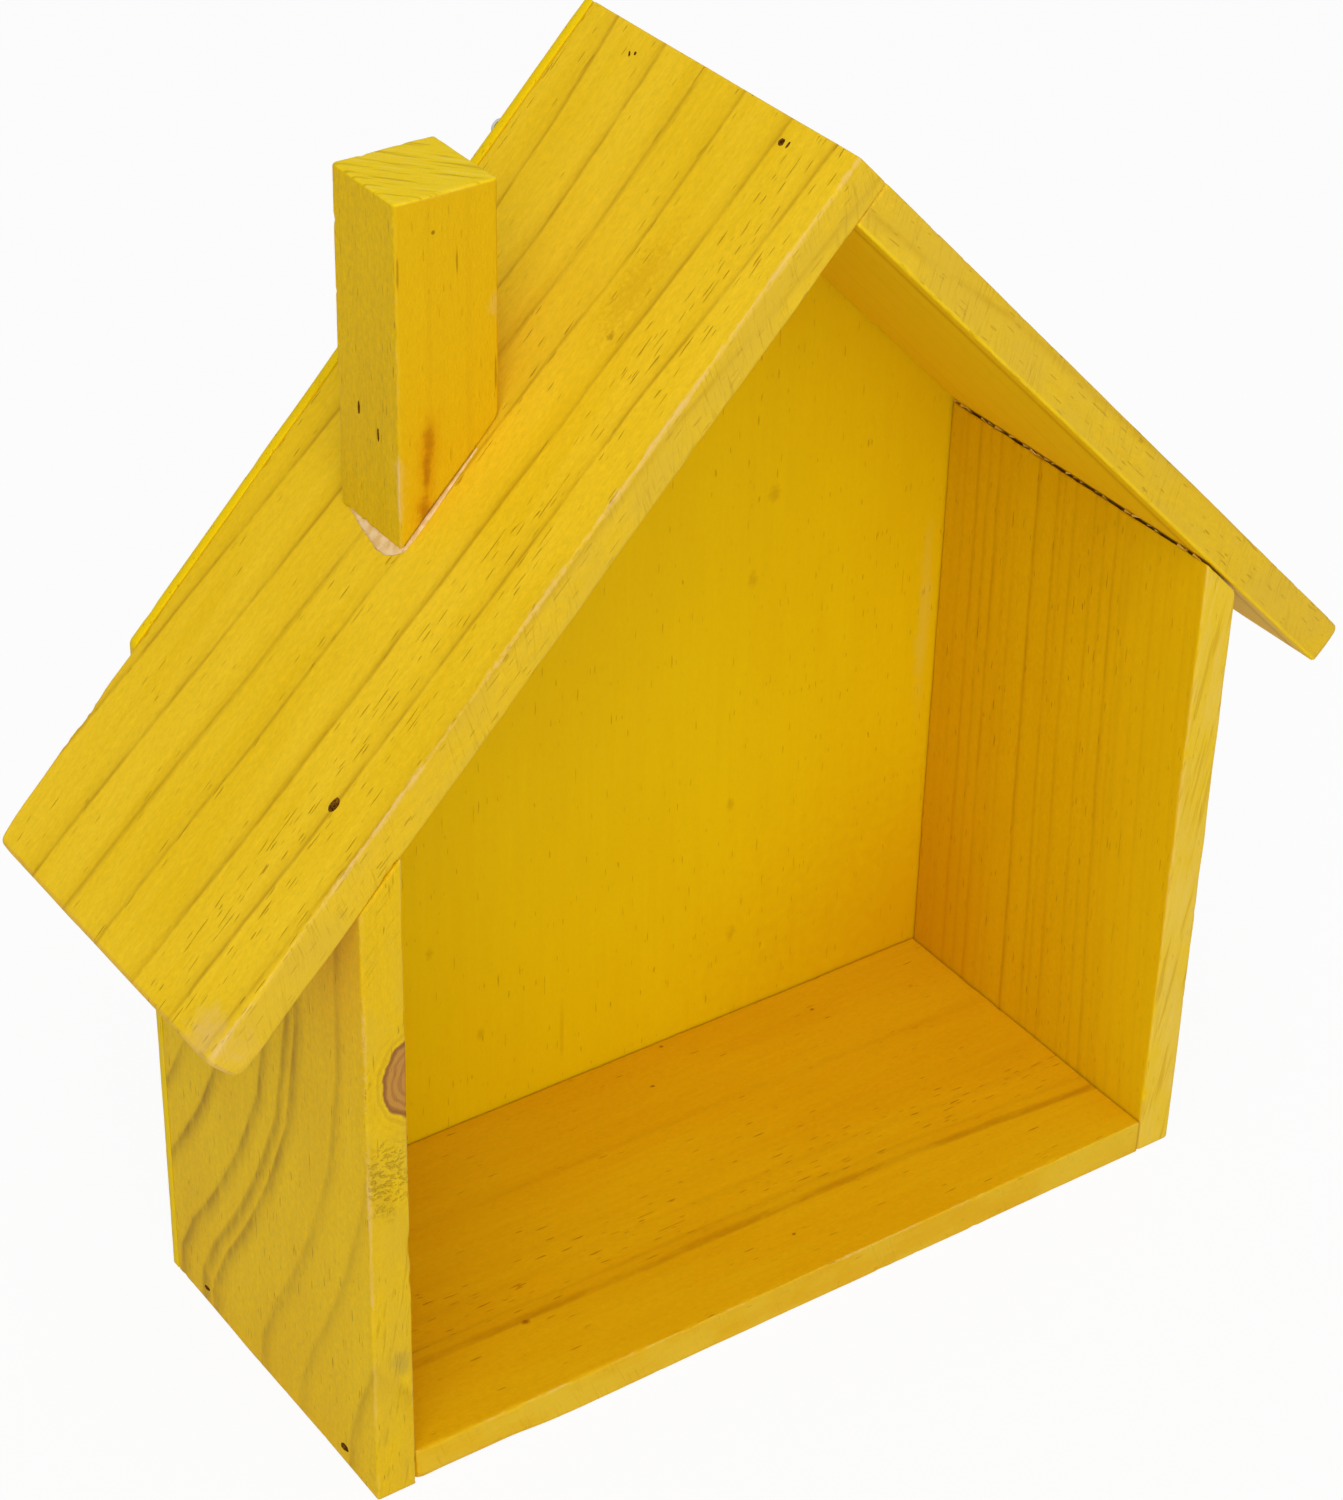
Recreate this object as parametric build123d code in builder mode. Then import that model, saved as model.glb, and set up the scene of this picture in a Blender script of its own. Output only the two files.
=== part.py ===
from build123d import *
import os
from math import cos, radians, sin, tan

# House-shaped wall shelf of solid pine with a thin back panel and a chimney.
# Millimetres. X runs across the front, Y from the open front to the wall, Z up.
# The origin is the middle of the underside.

os.makedirs("parts", exist_ok=True)

# Walls, floor and back panel
wall_span = 230.0  # across the outer faces of the two walls
wall_height = 160.0  # of a wall's outer face, from the underside to the roof
wall_thickness = 10.0
floor_thickness = 9.5
board_depth = 92.0  # every board, from its front edge to its rear edge
panel_thickness = 2.7
right_wall_gap = 0.5  # saw-cut line left between the right wall and its roof board

# Roof
roof_thickness = 10.0
roof_slope = 46.0  # degrees from level, the same on both sides
eave_overhang = 40.5  # down the slope, past the outer face of each wall

# Chimney, a square block that stands upright on the left slope
chimney_side = 23.5
chimney_height = 76.0  # of its long outer face, on the eave side
chimney_from_ridge = 67.7  # level, to the middle of the block
chimney_from_front = 52.6  # to the middle of the block

# Edges rounded over with sandpaper
board_arris = 0.9
floor_arris = 0.6
panel_arris = 0.6
chimney_arris = 0.7

# T-head brads, seen as small slots in the wood
brad_head = 3.0
brad_head_height = 0.8
brad_shank = 1.4
brad_gauge = 1.2  # thickness of head and shank alike
brad_point = 2.0
brad_length = 25.0
panel_brad_length = 15.0
brad_sink = 0.8  # head below the wood where it is driven square
slant_sink = 2.0  # head below the wood where it is driven at a slant
slot_reach = 4.0  # how far each slot is cut out past the surface

# Where the brads stand
ridge_brad_inset = 20.0  # from the front and rear edges
ridge_brad_turns = (0.0, 39.0)  # degrees, head against the slope, front and rear
wall_brad_inset = 14.5
wall_brad_turn = 20.0
roof_brad_inset = 14.0  # from the front edge
roof_brad_from_face = 3.0  # from the wall's outer face
chimney_brad_height = 24.5  # above the roof, on the eave-side face
chimney_brad_spacing = 7.4
chimney_brad_step = 2.8  # the rear one stands higher by this
chimney_brad_dip = 30.0  # degrees below level
panel_brad_spacing = 70.0  # along the floor
panel_brad_heights = (35.0, 125.0)  # up each wall
panel_brad_runs = (50.0, 100.0, 150.0)  # down each slope from the ridge

# Sawtooth hanger on the back, under the ridge
hanger_length = 46.0
hanger_height = 9.0
hanger_gauge = 0.8
hanger_rise = 1.2  # of the toothed bridge off the panel
hanger_bridge = 28.0
hanger_ramp = 2.5
hanger_corner = 2.0
tooth_pitch = 2.4
tooth_depth = 1.6
tooth_count = 11
nail_spacing = 39.0
nail_head = 3.4
nail_head_height = 0.7
nail_shank = 1.5
nail_length = 12.0
nail_point = 2.0
nail_fit = 0.05  # all round the nail in its holes

# Planes and heights that the pieces share
overall_depth = board_depth + panel_thickness + hanger_rise + hanger_gauge
front = -overall_depth / 2
board_rear = front + board_depth
panel_rear = board_rear + panel_thickness
rear_plane = Plane.XZ.offset(-board_rear)
half_span = wall_span / 2
slope = radians(roof_slope)
roof_run = half_span / cos(slope) + eave_overhang  # underside, from ridge to eave
ridge_height = wall_height + half_span * tan(slope)  # underside of both slopes
apex_height = ridge_height + roof_thickness / cos(slope)  # where the top faces meet
eave_low = (roof_run * cos(slope), ridge_height - roof_run * sin(slope))
eave_high = (
    eave_low[0] + roof_thickness * sin(slope),
    eave_low[1] + roof_thickness * cos(slope),
)
lap = (
    roof_thickness / (2 * sin(slope)),
    ridge_height + roof_thickness / (2 * cos(slope)),
)


def roof_top(x):
    """Height of the roof's top face at a level distance x from the ridge."""
    return apex_height - abs(x) * tan(slope)


def roof_middle(run):
    """Point in the middle of a roof board's thickness, run down from the ridge."""
    across = run * cos(slope) + roof_thickness / 2 * sin(slope)
    up = ridge_height - run * sin(slope) + roof_thickness / 2 * cos(slope)
    return across, up


def brad_plane(point, inward, wide, turn=0.0):
    """Plane with x across a brad's head, y out of the wood and the head at point."""
    out = Vector(*inward).normalized() * -1
    across = Vector(*wide).normalized().rotate(Axis((0, 0, 0), out), turn)
    return Plane(origin=point, x_dir=across, z_dir=across.cross(out))


def brad_side_view(length, sink, top):
    """A brad seen from its side, or its slot where top is above the wood."""
    under_head = -sink - brad_head_height
    tip = -sink - length
    with BuildSketch() as side_view:
        with BuildLine():
            Polyline(
                (-brad_head / 2, top),
                (brad_head / 2, top),
                (brad_head / 2, under_head),
                (brad_shank / 2, under_head),
                (brad_shank / 2, tip + brad_point),
                (0, tip),
                (-brad_shank / 2, tip + brad_point),
                (-brad_shank / 2, under_head),
                (-brad_head / 2, under_head),
                close=True,
            )
        make_face()
    return side_view.sketch


board_brad = brad_side_view(brad_length, brad_sink, -brad_sink)
board_slot = brad_side_view(brad_length, brad_sink, slot_reach)
slant_brad = brad_side_view(brad_length, slant_sink, -slant_sink)
slant_slot = brad_side_view(brad_length, slant_sink, slot_reach)
panel_brad = brad_side_view(panel_brad_length, brad_sink, -brad_sink)
panel_slot = brad_side_view(panel_brad_length, brad_sink, slot_reach)

# Ridge brads go square through the left board into the end of the right one
down_left_slope = (-cos(slope), 0, -sin(slope))
into_left_slope = (sin(slope), 0, -cos(slope))
ridge_middle = Vector(lap[0] / 2, 0, (ridge_height + lap[1]) / 2)
ridge_head = ridge_middle - Vector(*into_left_slope) * roof_thickness
ridge_places = [
    brad_plane((ridge_head.X, y, ridge_head.Z), into_left_slope, down_left_slope, turn)
    for y, turn in zip(
        (front + ridge_brad_inset, board_rear - ridge_brad_inset), ridge_brad_turns
    )
]

# Wall brads go level through the foot of each wall into the end of the floor board
wall_brad_rows = (front + wall_brad_inset, board_rear - wall_brad_inset)
left_wall_places = [
    brad_plane((-half_span, y, floor_thickness / 2), (1, 0, 0), (0, 1, 0), wall_brad_turn)
    for y in wall_brad_rows
]
right_wall_places = [
    brad_plane((half_span, y, floor_thickness / 2), (-1, 0, 0), (0, 1, 0), wall_brad_turn)
    for y in wall_brad_rows
]

# Roof brads go straight down through each slope into the top of its wall
roof_brad_x = half_span - roof_brad_from_face
roof_brad_y = front + roof_brad_inset
left_roof_places = [
    brad_plane((-roof_brad_x, roof_brad_y, roof_top(roof_brad_x)), (0, 0, -1), (1, 0, 0))
]
right_roof_places = [
    brad_plane((roof_brad_x, roof_brad_y, roof_top(roof_brad_x)), (0, 0, -1), (1, 0, 0))
]

# Chimney brads go at a slant through the eave-side face into the left slope
chimney_y = front + chimney_from_front
chimney_outer = -chimney_from_ridge - chimney_side / 2
chimney_inner = -chimney_from_ridge + chimney_side / 2
chimney_foot = roof_top(chimney_outer)
chimney_top = chimney_foot + chimney_height
dip = radians(chimney_brad_dip)
chimney_places = [
    brad_plane(
        (
            chimney_outer,
            chimney_y + side * chimney_brad_spacing / 2,
            chimney_foot + chimney_brad_height + side * chimney_brad_step / 2,
        ),
        (cos(dip), 0, -sin(dip)),
        (sin(dip), 0, cos(dip)),
    )
    for side in (-1, 1)
]

# Panel brads go forward through the back panel into the rear edge of each board
floor_panel_places = [
    brad_plane((x, panel_rear, floor_thickness / 2), (0, -1, 0), (1, 0, 0))
    for x in (-panel_brad_spacing, 0, panel_brad_spacing)
]
wall_middle = half_span - wall_thickness / 2
left_wall_panel_places = [
    brad_plane((-wall_middle, panel_rear, z), (0, -1, 0), (0, 0, 1))
    for z in panel_brad_heights
]
right_wall_panel_places = [
    brad_plane((wall_middle, panel_rear, z), (0, -1, 0), (0, 0, 1))
    for z in panel_brad_heights
]
roof_panel_points = [roof_middle(run) for run in panel_brad_runs]
left_roof_panel_places = [
    brad_plane((-x, panel_rear, z), (0, -1, 0), down_left_slope)
    for x, z in roof_panel_points
]
right_roof_panel_places = [
    brad_plane((x, panel_rear, z), (0, -1, 0), (cos(slope), 0, -sin(slope)))
    for x, z in roof_panel_points
]
all_panel_places = (
    floor_panel_places
    + left_wall_panel_places
    + right_wall_panel_places
    + left_roof_panel_places
    + right_roof_panel_places
)

# The hanger's nails go into the middle of both roof boards' rear edges
nail_x = nail_spacing / 2
hanger_z = roof_top(nail_x) - roof_thickness / (2 * cos(slope))
nail_depth = nail_length - hanger_gauge  # of the holes, from the panel's rear face
nail_hole_radius = nail_shank / 2 + nail_fit


# Left roof board, which laps over the end of the right one at the ridge
with BuildPart() as left_roof_board:
    with BuildSketch(rear_plane):
        with BuildLine():
            Polyline(
                lap,
                (0, apex_height),
                (-eave_high[0], eave_high[1]),
                (-eave_low[0], eave_low[1]),
                close=True,
            )
        make_face()
    extrude(amount=board_depth)
    front_edges = left_roof_board.edges().group_by(Axis.Y)[0]
    long_edges = left_roof_board.edges().filter_by(Axis.Y).sort_by(Axis.X)[:-1]
    fillet(front_edges + long_edges, board_arris)
    with BuildSketch(*ridge_places):
        add(board_slot)
    extrude(amount=brad_gauge / 2, both=True, mode=Mode.SUBTRACT)
    with BuildSketch(*left_roof_places, *chimney_places):
        add(slant_slot)
    extrude(amount=brad_gauge / 2, both=True, mode=Mode.SUBTRACT)
    with BuildSketch(*left_roof_panel_places):
        add(panel_slot)
    extrude(amount=brad_gauge / 2, both=True, mode=Mode.SUBTRACT)
    with BuildSketch(Plane.XZ.offset(-panel_rear)):
        with Locations((-nail_x, hanger_z)):
            Circle(nail_hole_radius)
    extrude(amount=nail_depth, mode=Mode.SUBTRACT)
left_roof_board.part.label = "left_roof_board"
export_step(left_roof_board.part, "parts/left_roof_board.step")

# Right roof board, bevelled to butt against the underside of the left one
with BuildPart() as right_roof_board:
    with BuildSketch(rear_plane):
        with BuildLine():
            Polyline((0, ridge_height), lap, eave_high, eave_low, close=True)
        make_face()
    extrude(amount=board_depth)
    front_edges = right_roof_board.edges().group_by(Axis.Y)[0].sort_by(Axis.X)[1:]
    long_edges = right_roof_board.edges().filter_by(Axis.Y).sort_by(Axis.X)[2:]
    fillet(front_edges + long_edges, board_arris)
    with BuildSketch(*ridge_places):
        add(board_slot)
    extrude(amount=brad_gauge / 2, both=True, mode=Mode.SUBTRACT)
    with BuildSketch(*right_roof_places):
        add(slant_slot)
    extrude(amount=brad_gauge / 2, both=True, mode=Mode.SUBTRACT)
    with BuildSketch(*right_roof_panel_places):
        add(panel_slot)
    extrude(amount=brad_gauge / 2, both=True, mode=Mode.SUBTRACT)
    with BuildSketch(Plane.XZ.offset(-panel_rear)):
        with Locations((nail_x, hanger_z)):
            Circle(nail_hole_radius)
    extrude(amount=nail_depth, mode=Mode.SUBTRACT)
right_roof_board.part.label = "right_roof_board"
export_step(right_roof_board.part, "parts/right_roof_board.step")

# Left wall, its top bevelled to lie flat under the roof board
with BuildPart() as left_wall:
    with BuildSketch(rear_plane):
        with BuildLine():
            Polyline(
                (-half_span, 0),
                (wall_thickness - half_span, 0),
                (wall_thickness - half_span, wall_height + wall_thickness * tan(slope)),
                (-half_span, wall_height),
                close=True,
            )
        make_face()
    extrude(amount=board_depth)
    front_edges = left_wall.edges().group_by(Axis.Y)[0].sort_by(Axis.Z)[:-1]
    foot_edges = left_wall.edges().filter_by(Axis.Y).group_by(Axis.Z)[0].sort_by(Axis.X)
    fillet(front_edges + foot_edges[:1], board_arris)
    with BuildSketch(*left_wall_places):
        add(board_slot)
    extrude(amount=brad_gauge / 2, both=True, mode=Mode.SUBTRACT)
    with BuildSketch(*left_roof_places):
        add(slant_slot)
    extrude(amount=brad_gauge / 2, both=True, mode=Mode.SUBTRACT)
    with BuildSketch(*left_wall_panel_places):
        add(panel_slot)
    extrude(amount=brad_gauge / 2, both=True, mode=Mode.SUBTRACT)
left_wall.part.label = "left_wall"
export_step(left_wall.part, "parts/left_wall.step")

# Right wall, which stops just short of its roof board
with BuildPart() as right_wall:
    right_wall_height = wall_height - right_wall_gap
    with BuildSketch(rear_plane):
        with BuildLine():
            Polyline(
                (half_span, 0),
                (half_span, right_wall_height),
                (
                    half_span - wall_thickness,
                    right_wall_height + wall_thickness * tan(slope),
                ),
                (half_span - wall_thickness, 0),
                close=True,
            )
        make_face()
    extrude(amount=board_depth)
    front_edges = right_wall.edges().group_by(Axis.Y)[0].sort_by(Axis.Z)[:-1]
    foot_edges = right_wall.edges().filter_by(Axis.Y).group_by(Axis.Z)[0].sort_by(Axis.X)
    fillet(front_edges + foot_edges[-1:], board_arris)
    with BuildSketch(*right_wall_places):
        add(board_slot)
    extrude(amount=brad_gauge / 2, both=True, mode=Mode.SUBTRACT)
    with BuildSketch(*right_roof_places):
        add(slant_slot)
    extrude(amount=brad_gauge / 2, both=True, mode=Mode.SUBTRACT)
    with BuildSketch(*right_wall_panel_places):
        add(panel_slot)
    extrude(amount=brad_gauge / 2, both=True, mode=Mode.SUBTRACT)
right_wall.part.label = "right_wall"
export_step(right_wall.part, "parts/right_wall.step")

# Floor board, held between the walls
with BuildPart() as floor_board:
    floor_length = wall_span - 2 * wall_thickness
    with BuildSketch(rear_plane):
        Rectangle(floor_length, floor_thickness, align=(Align.CENTER, Align.MIN))
    extrude(amount=board_depth)
    fillet(
        floor_board.edges().group_by(Axis.Y)[0].filter_by(Axis.X),
        floor_arris,
    )
    with BuildSketch(*left_wall_places, *right_wall_places):
        add(board_slot)
    extrude(amount=brad_gauge / 2, both=True, mode=Mode.SUBTRACT)
    with BuildSketch(*floor_panel_places):
        add(panel_slot)
    extrude(amount=brad_gauge / 2, both=True, mode=Mode.SUBTRACT)
floor_board.part.label = "floor_board"
export_step(floor_board.part, "parts/floor_board.step")

# Back panel, cut to the walls' outer faces and the roof's top faces
with BuildPart() as back_panel:
    with BuildSketch(Plane.XZ.offset(-panel_rear)):
        with BuildLine():
            Polyline(
                (-half_span, 0),
                (half_span, 0),
                (half_span, roof_top(half_span)),
                (0, apex_height),
                (-half_span, roof_top(half_span)),
                close=True,
            )
        make_face()
    extrude(amount=panel_thickness)
    fillet(back_panel.edges().group_by(Axis.Y)[-1], panel_arris)
    with BuildSketch(*all_panel_places):
        add(panel_slot)
    extrude(amount=brad_gauge / 2, both=True, mode=Mode.SUBTRACT)
    with BuildSketch(Plane.XZ.offset(-panel_rear)):
        with Locations((-nail_x, hanger_z), (nail_x, hanger_z)):
            Circle(nail_hole_radius)
    extrude(amount=panel_thickness, mode=Mode.SUBTRACT)
back_panel.part.label = "back_panel"
export_step(back_panel.part, "parts/back_panel.step")

# Chimney, its foot sawn to the slope
with BuildPart() as chimney:
    with BuildSketch(Plane.XZ.offset(-chimney_y)):
        with BuildLine():
            Polyline(
                (chimney_outer, chimney_foot),
                (chimney_inner, roof_top(chimney_inner)),
                (chimney_inner, chimney_top),
                (chimney_outer, chimney_top),
                close=True,
            )
        make_face()
    extrude(amount=chimney_side / 2, both=True)
    upright_edges = chimney.edges().filter_by(Axis.Z)
    top_edges = chimney.edges().group_by(Axis.Z)[-1]
    fillet(upright_edges + top_edges, chimney_arris)
    with BuildSketch(*chimney_places):
        add(slant_slot)
    extrude(amount=brad_gauge / 2, both=True, mode=Mode.SUBTRACT)
chimney.part.label = "chimney"
export_step(chimney.part, "parts/chimney.step")

# Brads, one group for each joint they hold
with BuildPart() as ridge_brads:
    with BuildSketch(*ridge_places):
        add(board_brad)
    extrude(amount=brad_gauge / 2, both=True)
ridge_brads.part.label = "ridge_brads"
export_step(ridge_brads.part, "parts/ridge_brads.step")

with BuildPart() as roof_brads:
    with BuildSketch(*left_roof_places, *right_roof_places):
        add(slant_brad)
    extrude(amount=brad_gauge / 2, both=True)
roof_brads.part.label = "roof_brads"
export_step(roof_brads.part, "parts/roof_brads.step")

with BuildPart() as left_wall_brads:
    with BuildSketch(*left_wall_places):
        add(board_brad)
    extrude(amount=brad_gauge / 2, both=True)
left_wall_brads.part.label = "left_wall_brads"
export_step(left_wall_brads.part, "parts/left_wall_brads.step")

with BuildPart() as right_wall_brads:
    with BuildSketch(*right_wall_places):
        add(board_brad)
    extrude(amount=brad_gauge / 2, both=True)
right_wall_brads.part.label = "right_wall_brads"
export_step(right_wall_brads.part, "parts/right_wall_brads.step")

with BuildPart() as chimney_brads:
    with BuildSketch(*chimney_places):
        add(slant_brad)
    extrude(amount=brad_gauge / 2, both=True)
chimney_brads.part.label = "chimney_brads"
export_step(chimney_brads.part, "parts/chimney_brads.step")

with BuildPart() as panel_brads:
    with BuildSketch(*all_panel_places):
        add(panel_brad)
    extrude(amount=brad_gauge / 2, both=True)
panel_brads.part.label = "panel_brads"
export_step(panel_brads.part, "parts/panel_brads.step")

# Sawtooth hanger, a pressed steel strip whose toothed middle stands off the panel
with BuildPart() as sawtooth_hanger:
    bend_out = hanger_bridge / 2
    bend_in = bend_out + hanger_ramp
    tab_end = hanger_length / 2
    bridge = panel_rear + hanger_rise
    with BuildSketch(Plane.XY.offset(hanger_z - hanger_height / 2)):
        with BuildLine():
            Polyline(
                (0, bridge),
                (bend_out, bridge),
                (bend_in, panel_rear),
                (tab_end, panel_rear),
                (tab_end, panel_rear + hanger_gauge),
                (bend_in, panel_rear + hanger_gauge),
                (bend_out, bridge + hanger_gauge),
                (0, bridge + hanger_gauge),
                close=True,
            )
        make_face()
        mirror(about=Plane.YZ)
    extrude(amount=hanger_height)
    corner_edges = sawtooth_hanger.edges().filter_by(Axis.Y)
    fillet(
        corner_edges.group_by(Axis.X)[0] + corner_edges.group_by(Axis.X)[-1],
        hanger_corner,
    )
    with BuildSketch(Plane.XZ.offset(-bridge - hanger_gauge)):
        with Locations((0, hanger_z - hanger_height / 2)):
            with GridLocations(tooth_pitch, 1, tooth_count, 1):
                Polygon(
                    (-tooth_pitch / 2, 0),
                    (tooth_pitch / 2, 0),
                    (0, tooth_depth),
                    align=None,
                )
    extrude(amount=hanger_gauge, mode=Mode.SUBTRACT)
    with BuildSketch(Plane.XZ.offset(-panel_rear - hanger_gauge)):
        with Locations((-nail_x, hanger_z), (nail_x, hanger_z)):
            Circle(nail_hole_radius)
    extrude(amount=hanger_gauge, mode=Mode.SUBTRACT)
sawtooth_hanger.part.label = "sawtooth_hanger"
export_step(sawtooth_hanger.part, "parts/sawtooth_hanger.step")

# The two round nails that hold the hanger
with BuildPart() as hanger_nails:
    under_head = panel_rear + hanger_gauge
    with BuildSketch(Plane.XY.offset(hanger_z)):
        with BuildLine():
            Polyline(
                (nail_x, under_head + nail_head_height),
                (nail_x + nail_head / 2, under_head + nail_head_height),
                (nail_x + nail_head / 2, under_head),
                (nail_x + nail_shank / 2, under_head),
                (nail_x + nail_shank / 2, under_head - nail_length + nail_point),
                (nail_x, under_head - nail_length),
                close=True,
            )
        make_face()
    revolve(axis=Axis((nail_x, 0, hanger_z), (0, 1, 0)))
    mirror(about=Plane.YZ)
hanger_nails.part.label = "hanger_nails"
export_step(hanger_nails.part, "parts/hanger_nails.step")

print("overall width", round(2 * eave_high[0], 1))
print("overall height", round(apex_height, 1), "depth", round(overall_depth, 1))
print("ridge underside at", round(ridge_height, 1), "chimney top at", round(chimney_top, 1))
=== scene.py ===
# %% [markdown]
# # A house-shaped wall shelf in yellow stained pine
#
# The real thing is a small nailed box: pine boards 10 mm thick make two walls, a floor and a steep
# roof, a thin plywood panel closes the back, and a square block is nailed on as a chimney. The
# construction model already has every piece at its right size. This script dresses it: softer, worn
# arrises, ragged brad holes, growth lines, a knot, saw marks, a thin yellow stain, dried glue and fibres.
#
# The first step loads the construction model, which stays where it is. Its box is kept, because no
# dressed piece may reach outside it.

# %% Load the construction model
from math import cos, pi, radians, sin, tan
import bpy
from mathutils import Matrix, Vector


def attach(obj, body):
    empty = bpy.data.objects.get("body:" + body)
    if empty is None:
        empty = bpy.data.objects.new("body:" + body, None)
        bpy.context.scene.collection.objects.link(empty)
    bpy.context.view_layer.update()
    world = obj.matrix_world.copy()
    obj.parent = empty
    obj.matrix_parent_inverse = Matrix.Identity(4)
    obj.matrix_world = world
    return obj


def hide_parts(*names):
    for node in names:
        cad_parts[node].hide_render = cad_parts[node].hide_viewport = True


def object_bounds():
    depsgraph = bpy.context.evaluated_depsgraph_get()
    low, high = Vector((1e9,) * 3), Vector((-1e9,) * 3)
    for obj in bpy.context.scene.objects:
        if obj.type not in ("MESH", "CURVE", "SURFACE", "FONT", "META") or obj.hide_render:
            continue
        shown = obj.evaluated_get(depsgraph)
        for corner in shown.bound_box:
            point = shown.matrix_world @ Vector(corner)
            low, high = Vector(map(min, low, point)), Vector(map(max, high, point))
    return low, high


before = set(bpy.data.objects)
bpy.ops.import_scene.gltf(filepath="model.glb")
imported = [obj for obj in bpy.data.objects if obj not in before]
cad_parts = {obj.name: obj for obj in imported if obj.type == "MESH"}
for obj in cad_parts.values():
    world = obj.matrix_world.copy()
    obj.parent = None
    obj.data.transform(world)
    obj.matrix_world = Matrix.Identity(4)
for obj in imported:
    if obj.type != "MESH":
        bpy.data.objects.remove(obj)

from types import SimpleNamespace

import bmesh
import bpy
import numpy as np
from mathutils import Matrix, Vector

cad_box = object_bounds()
print("pieces in the model:", len(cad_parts))

# %% [markdown]
# ## The sizes of the boards
#
# These are the same sizes as in the construction model, in millimetres. X runs across the front, Y from
# the open front to the wall behind, Z up. Everything else is worked out from them, so the dressed
# boards meet in the same planes as the plain ones.

# %% Board sizes
wall_span, wall_height, wall_thickness, floor_thickness = 230.0, 160.0, 10.0, 9.5
board_depth, panel_thickness, roof_thickness = 92.0, 2.7, 10.0
slope = radians(46.0)
eave_overhang, right_wall_gap = 40.5, 0.5
chimney_side, chimney_height, chimney_from_ridge, chimney_from_front = 23.5, 76.0, 67.7, 52.6

half_span = wall_span / 2
depth = board_depth + panel_thickness + 2.0
front = -depth / 2
board_rear = front + board_depth
panel_rear = board_rear + panel_thickness
down = np.array((cos(slope), -sin(slope)))
outward = np.array((sin(slope), cos(slope)))
ridge_under = np.array((0.0, wall_height + half_span * tan(slope)))
apex = np.array((0.0, ridge_under[1] + roof_thickness / cos(slope)))
eave_low = ridge_under + down * (half_span / cos(slope) + eave_overhang)
eave_high = eave_low + outward * roof_thickness
lap = np.array((roof_thickness / (2 * sin(slope)), apex[1] - roof_thickness / (2 * cos(slope))))
inner = half_span - wall_thickness
print("ridge at", apex.round(2), "eave from", eave_low.round(2), "to", eave_high.round(2))


def mirrored(points):
    """The same outline on the other side of the middle"""
    return [(-x, z) for x, z in points]


# %% [markdown]
# ## The camera
#
# The photograph looks down at the shelf from the front left, from about nine tenths of a metre away.
# The photographer's view was found by fitting a camera to the corners of the boards, so the place, the
# turn and the lens are numbers here and not a guess. The picture was cropped a little off its centre,
# and the camera's small shift gives that back. A helper puts each new thing in the scene.

# %% Camera
seen_from = Vector((-0.405768, -0.558262, 0.588621))
looking = Vector((0.47054, 0.67609, -0.56701)).normalized()
to_the_right = Vector((0.82681, -0.56226, 0.01572)).normalized()
upward = to_the_right.cross(looking)
photo_height, focal_length = 1500.0, 3690.0  # in pixels of the photograph


def in_scene(name, data):
    """Makes an object from a mesh, a lamp or a camera and links it to the scene"""
    made = bpy.data.objects.new(name, data)
    bpy.context.scene.collection.objects.link(made)
    return made


camera_data = bpy.data.cameras.new("studio_camera")
camera_data.sensor_width = 36.0
camera_data.lens = camera_data.sensor_width * focal_length / photo_height
camera_data.shift_x = 0.0279
camera_data.shift_y = 0.0415
camera_data.clip_start = 0.05
camera = in_scene("studio_camera", camera_data)
turn = Matrix((to_the_right, upward, -looking)).transposed().to_4x4()
camera.matrix_world = Matrix.Translation(seen_from) @ turn
bpy.context.scene.camera = camera
print("lens", round(camera_data.lens, 1), "mm")

# %% [markdown]
# ## Small helpers for node trees
#
# Every finish below is a tree of shader nodes, and helpers keep them short to write. One turns a colour
# as it is seen on screen into the linear colour that the shader wants, one adds a node and fills its
# sockets with numbers or links, and the rest name what is done again and again: a sum, a blend of two
# colours, a soft step, noise and a drawn curve.

# %% Node helpers


def paint(red, green, blue):
    """A colour on screen, 0 to 255, as the linear colour of a shader socket"""
    parts = [c / 255 for c in (red, green, blue)]
    return tuple(c / 12.92 if c <= 0.04045 else ((c + 0.055) / 1.055) ** 2.4 for c in parts) + (1.0,)


def add(tree, kind, sockets=None, **settings):
    """Adds a node, sets it up and fills its sockets with values or links"""
    made = tree.nodes.new(kind)
    for key, value in settings.items():
        setattr(made, key, value)
    for key, value in (sockets or {}).items():
        socket = made.inputs[key]
        if isinstance(value, bpy.types.NodeSocket):
            tree.links.new(value, socket)
        else:
            socket.default_value = value
    return made


def math(tree, operation, a, b=0.0, c=0.0):
    """One sum on two or three numbers"""
    return add(tree, "ShaderNodeMath", {0: a, 1: b, 2: c}, operation=operation).outputs[0]


def times(tree, a, b):
    return math(tree, "MULTIPLY", a, b)


def blend(tree, amount, below, above):
    """Lays one colour over another by an amount from 0 to 1"""
    made = add(tree, "ShaderNodeMix", data_type="RGBA", clamp_factor=True)
    for index, value in ((0, amount), (6, below), (7, above)):
        if isinstance(value, bpy.types.NodeSocket):
            tree.links.new(value, made.inputs[index])
        else:
            made.inputs[index].default_value = value
    return made.outputs[2]


def object_place(tree):
    return add(tree, "ShaderNodeTexCoord").outputs["Object"]


def ease(tree, value, low, high, to_low=0.0, to_high=1.0):
    """A soft step between two values"""
    made = add(tree, "ShaderNodeMapRange", {"Value": value, "From Min": low, "From Max": high,
        "To Min": to_low, "To Max": to_high}, interpolation_type="SMOOTHSTEP")
    return made.outputs[0]


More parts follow.
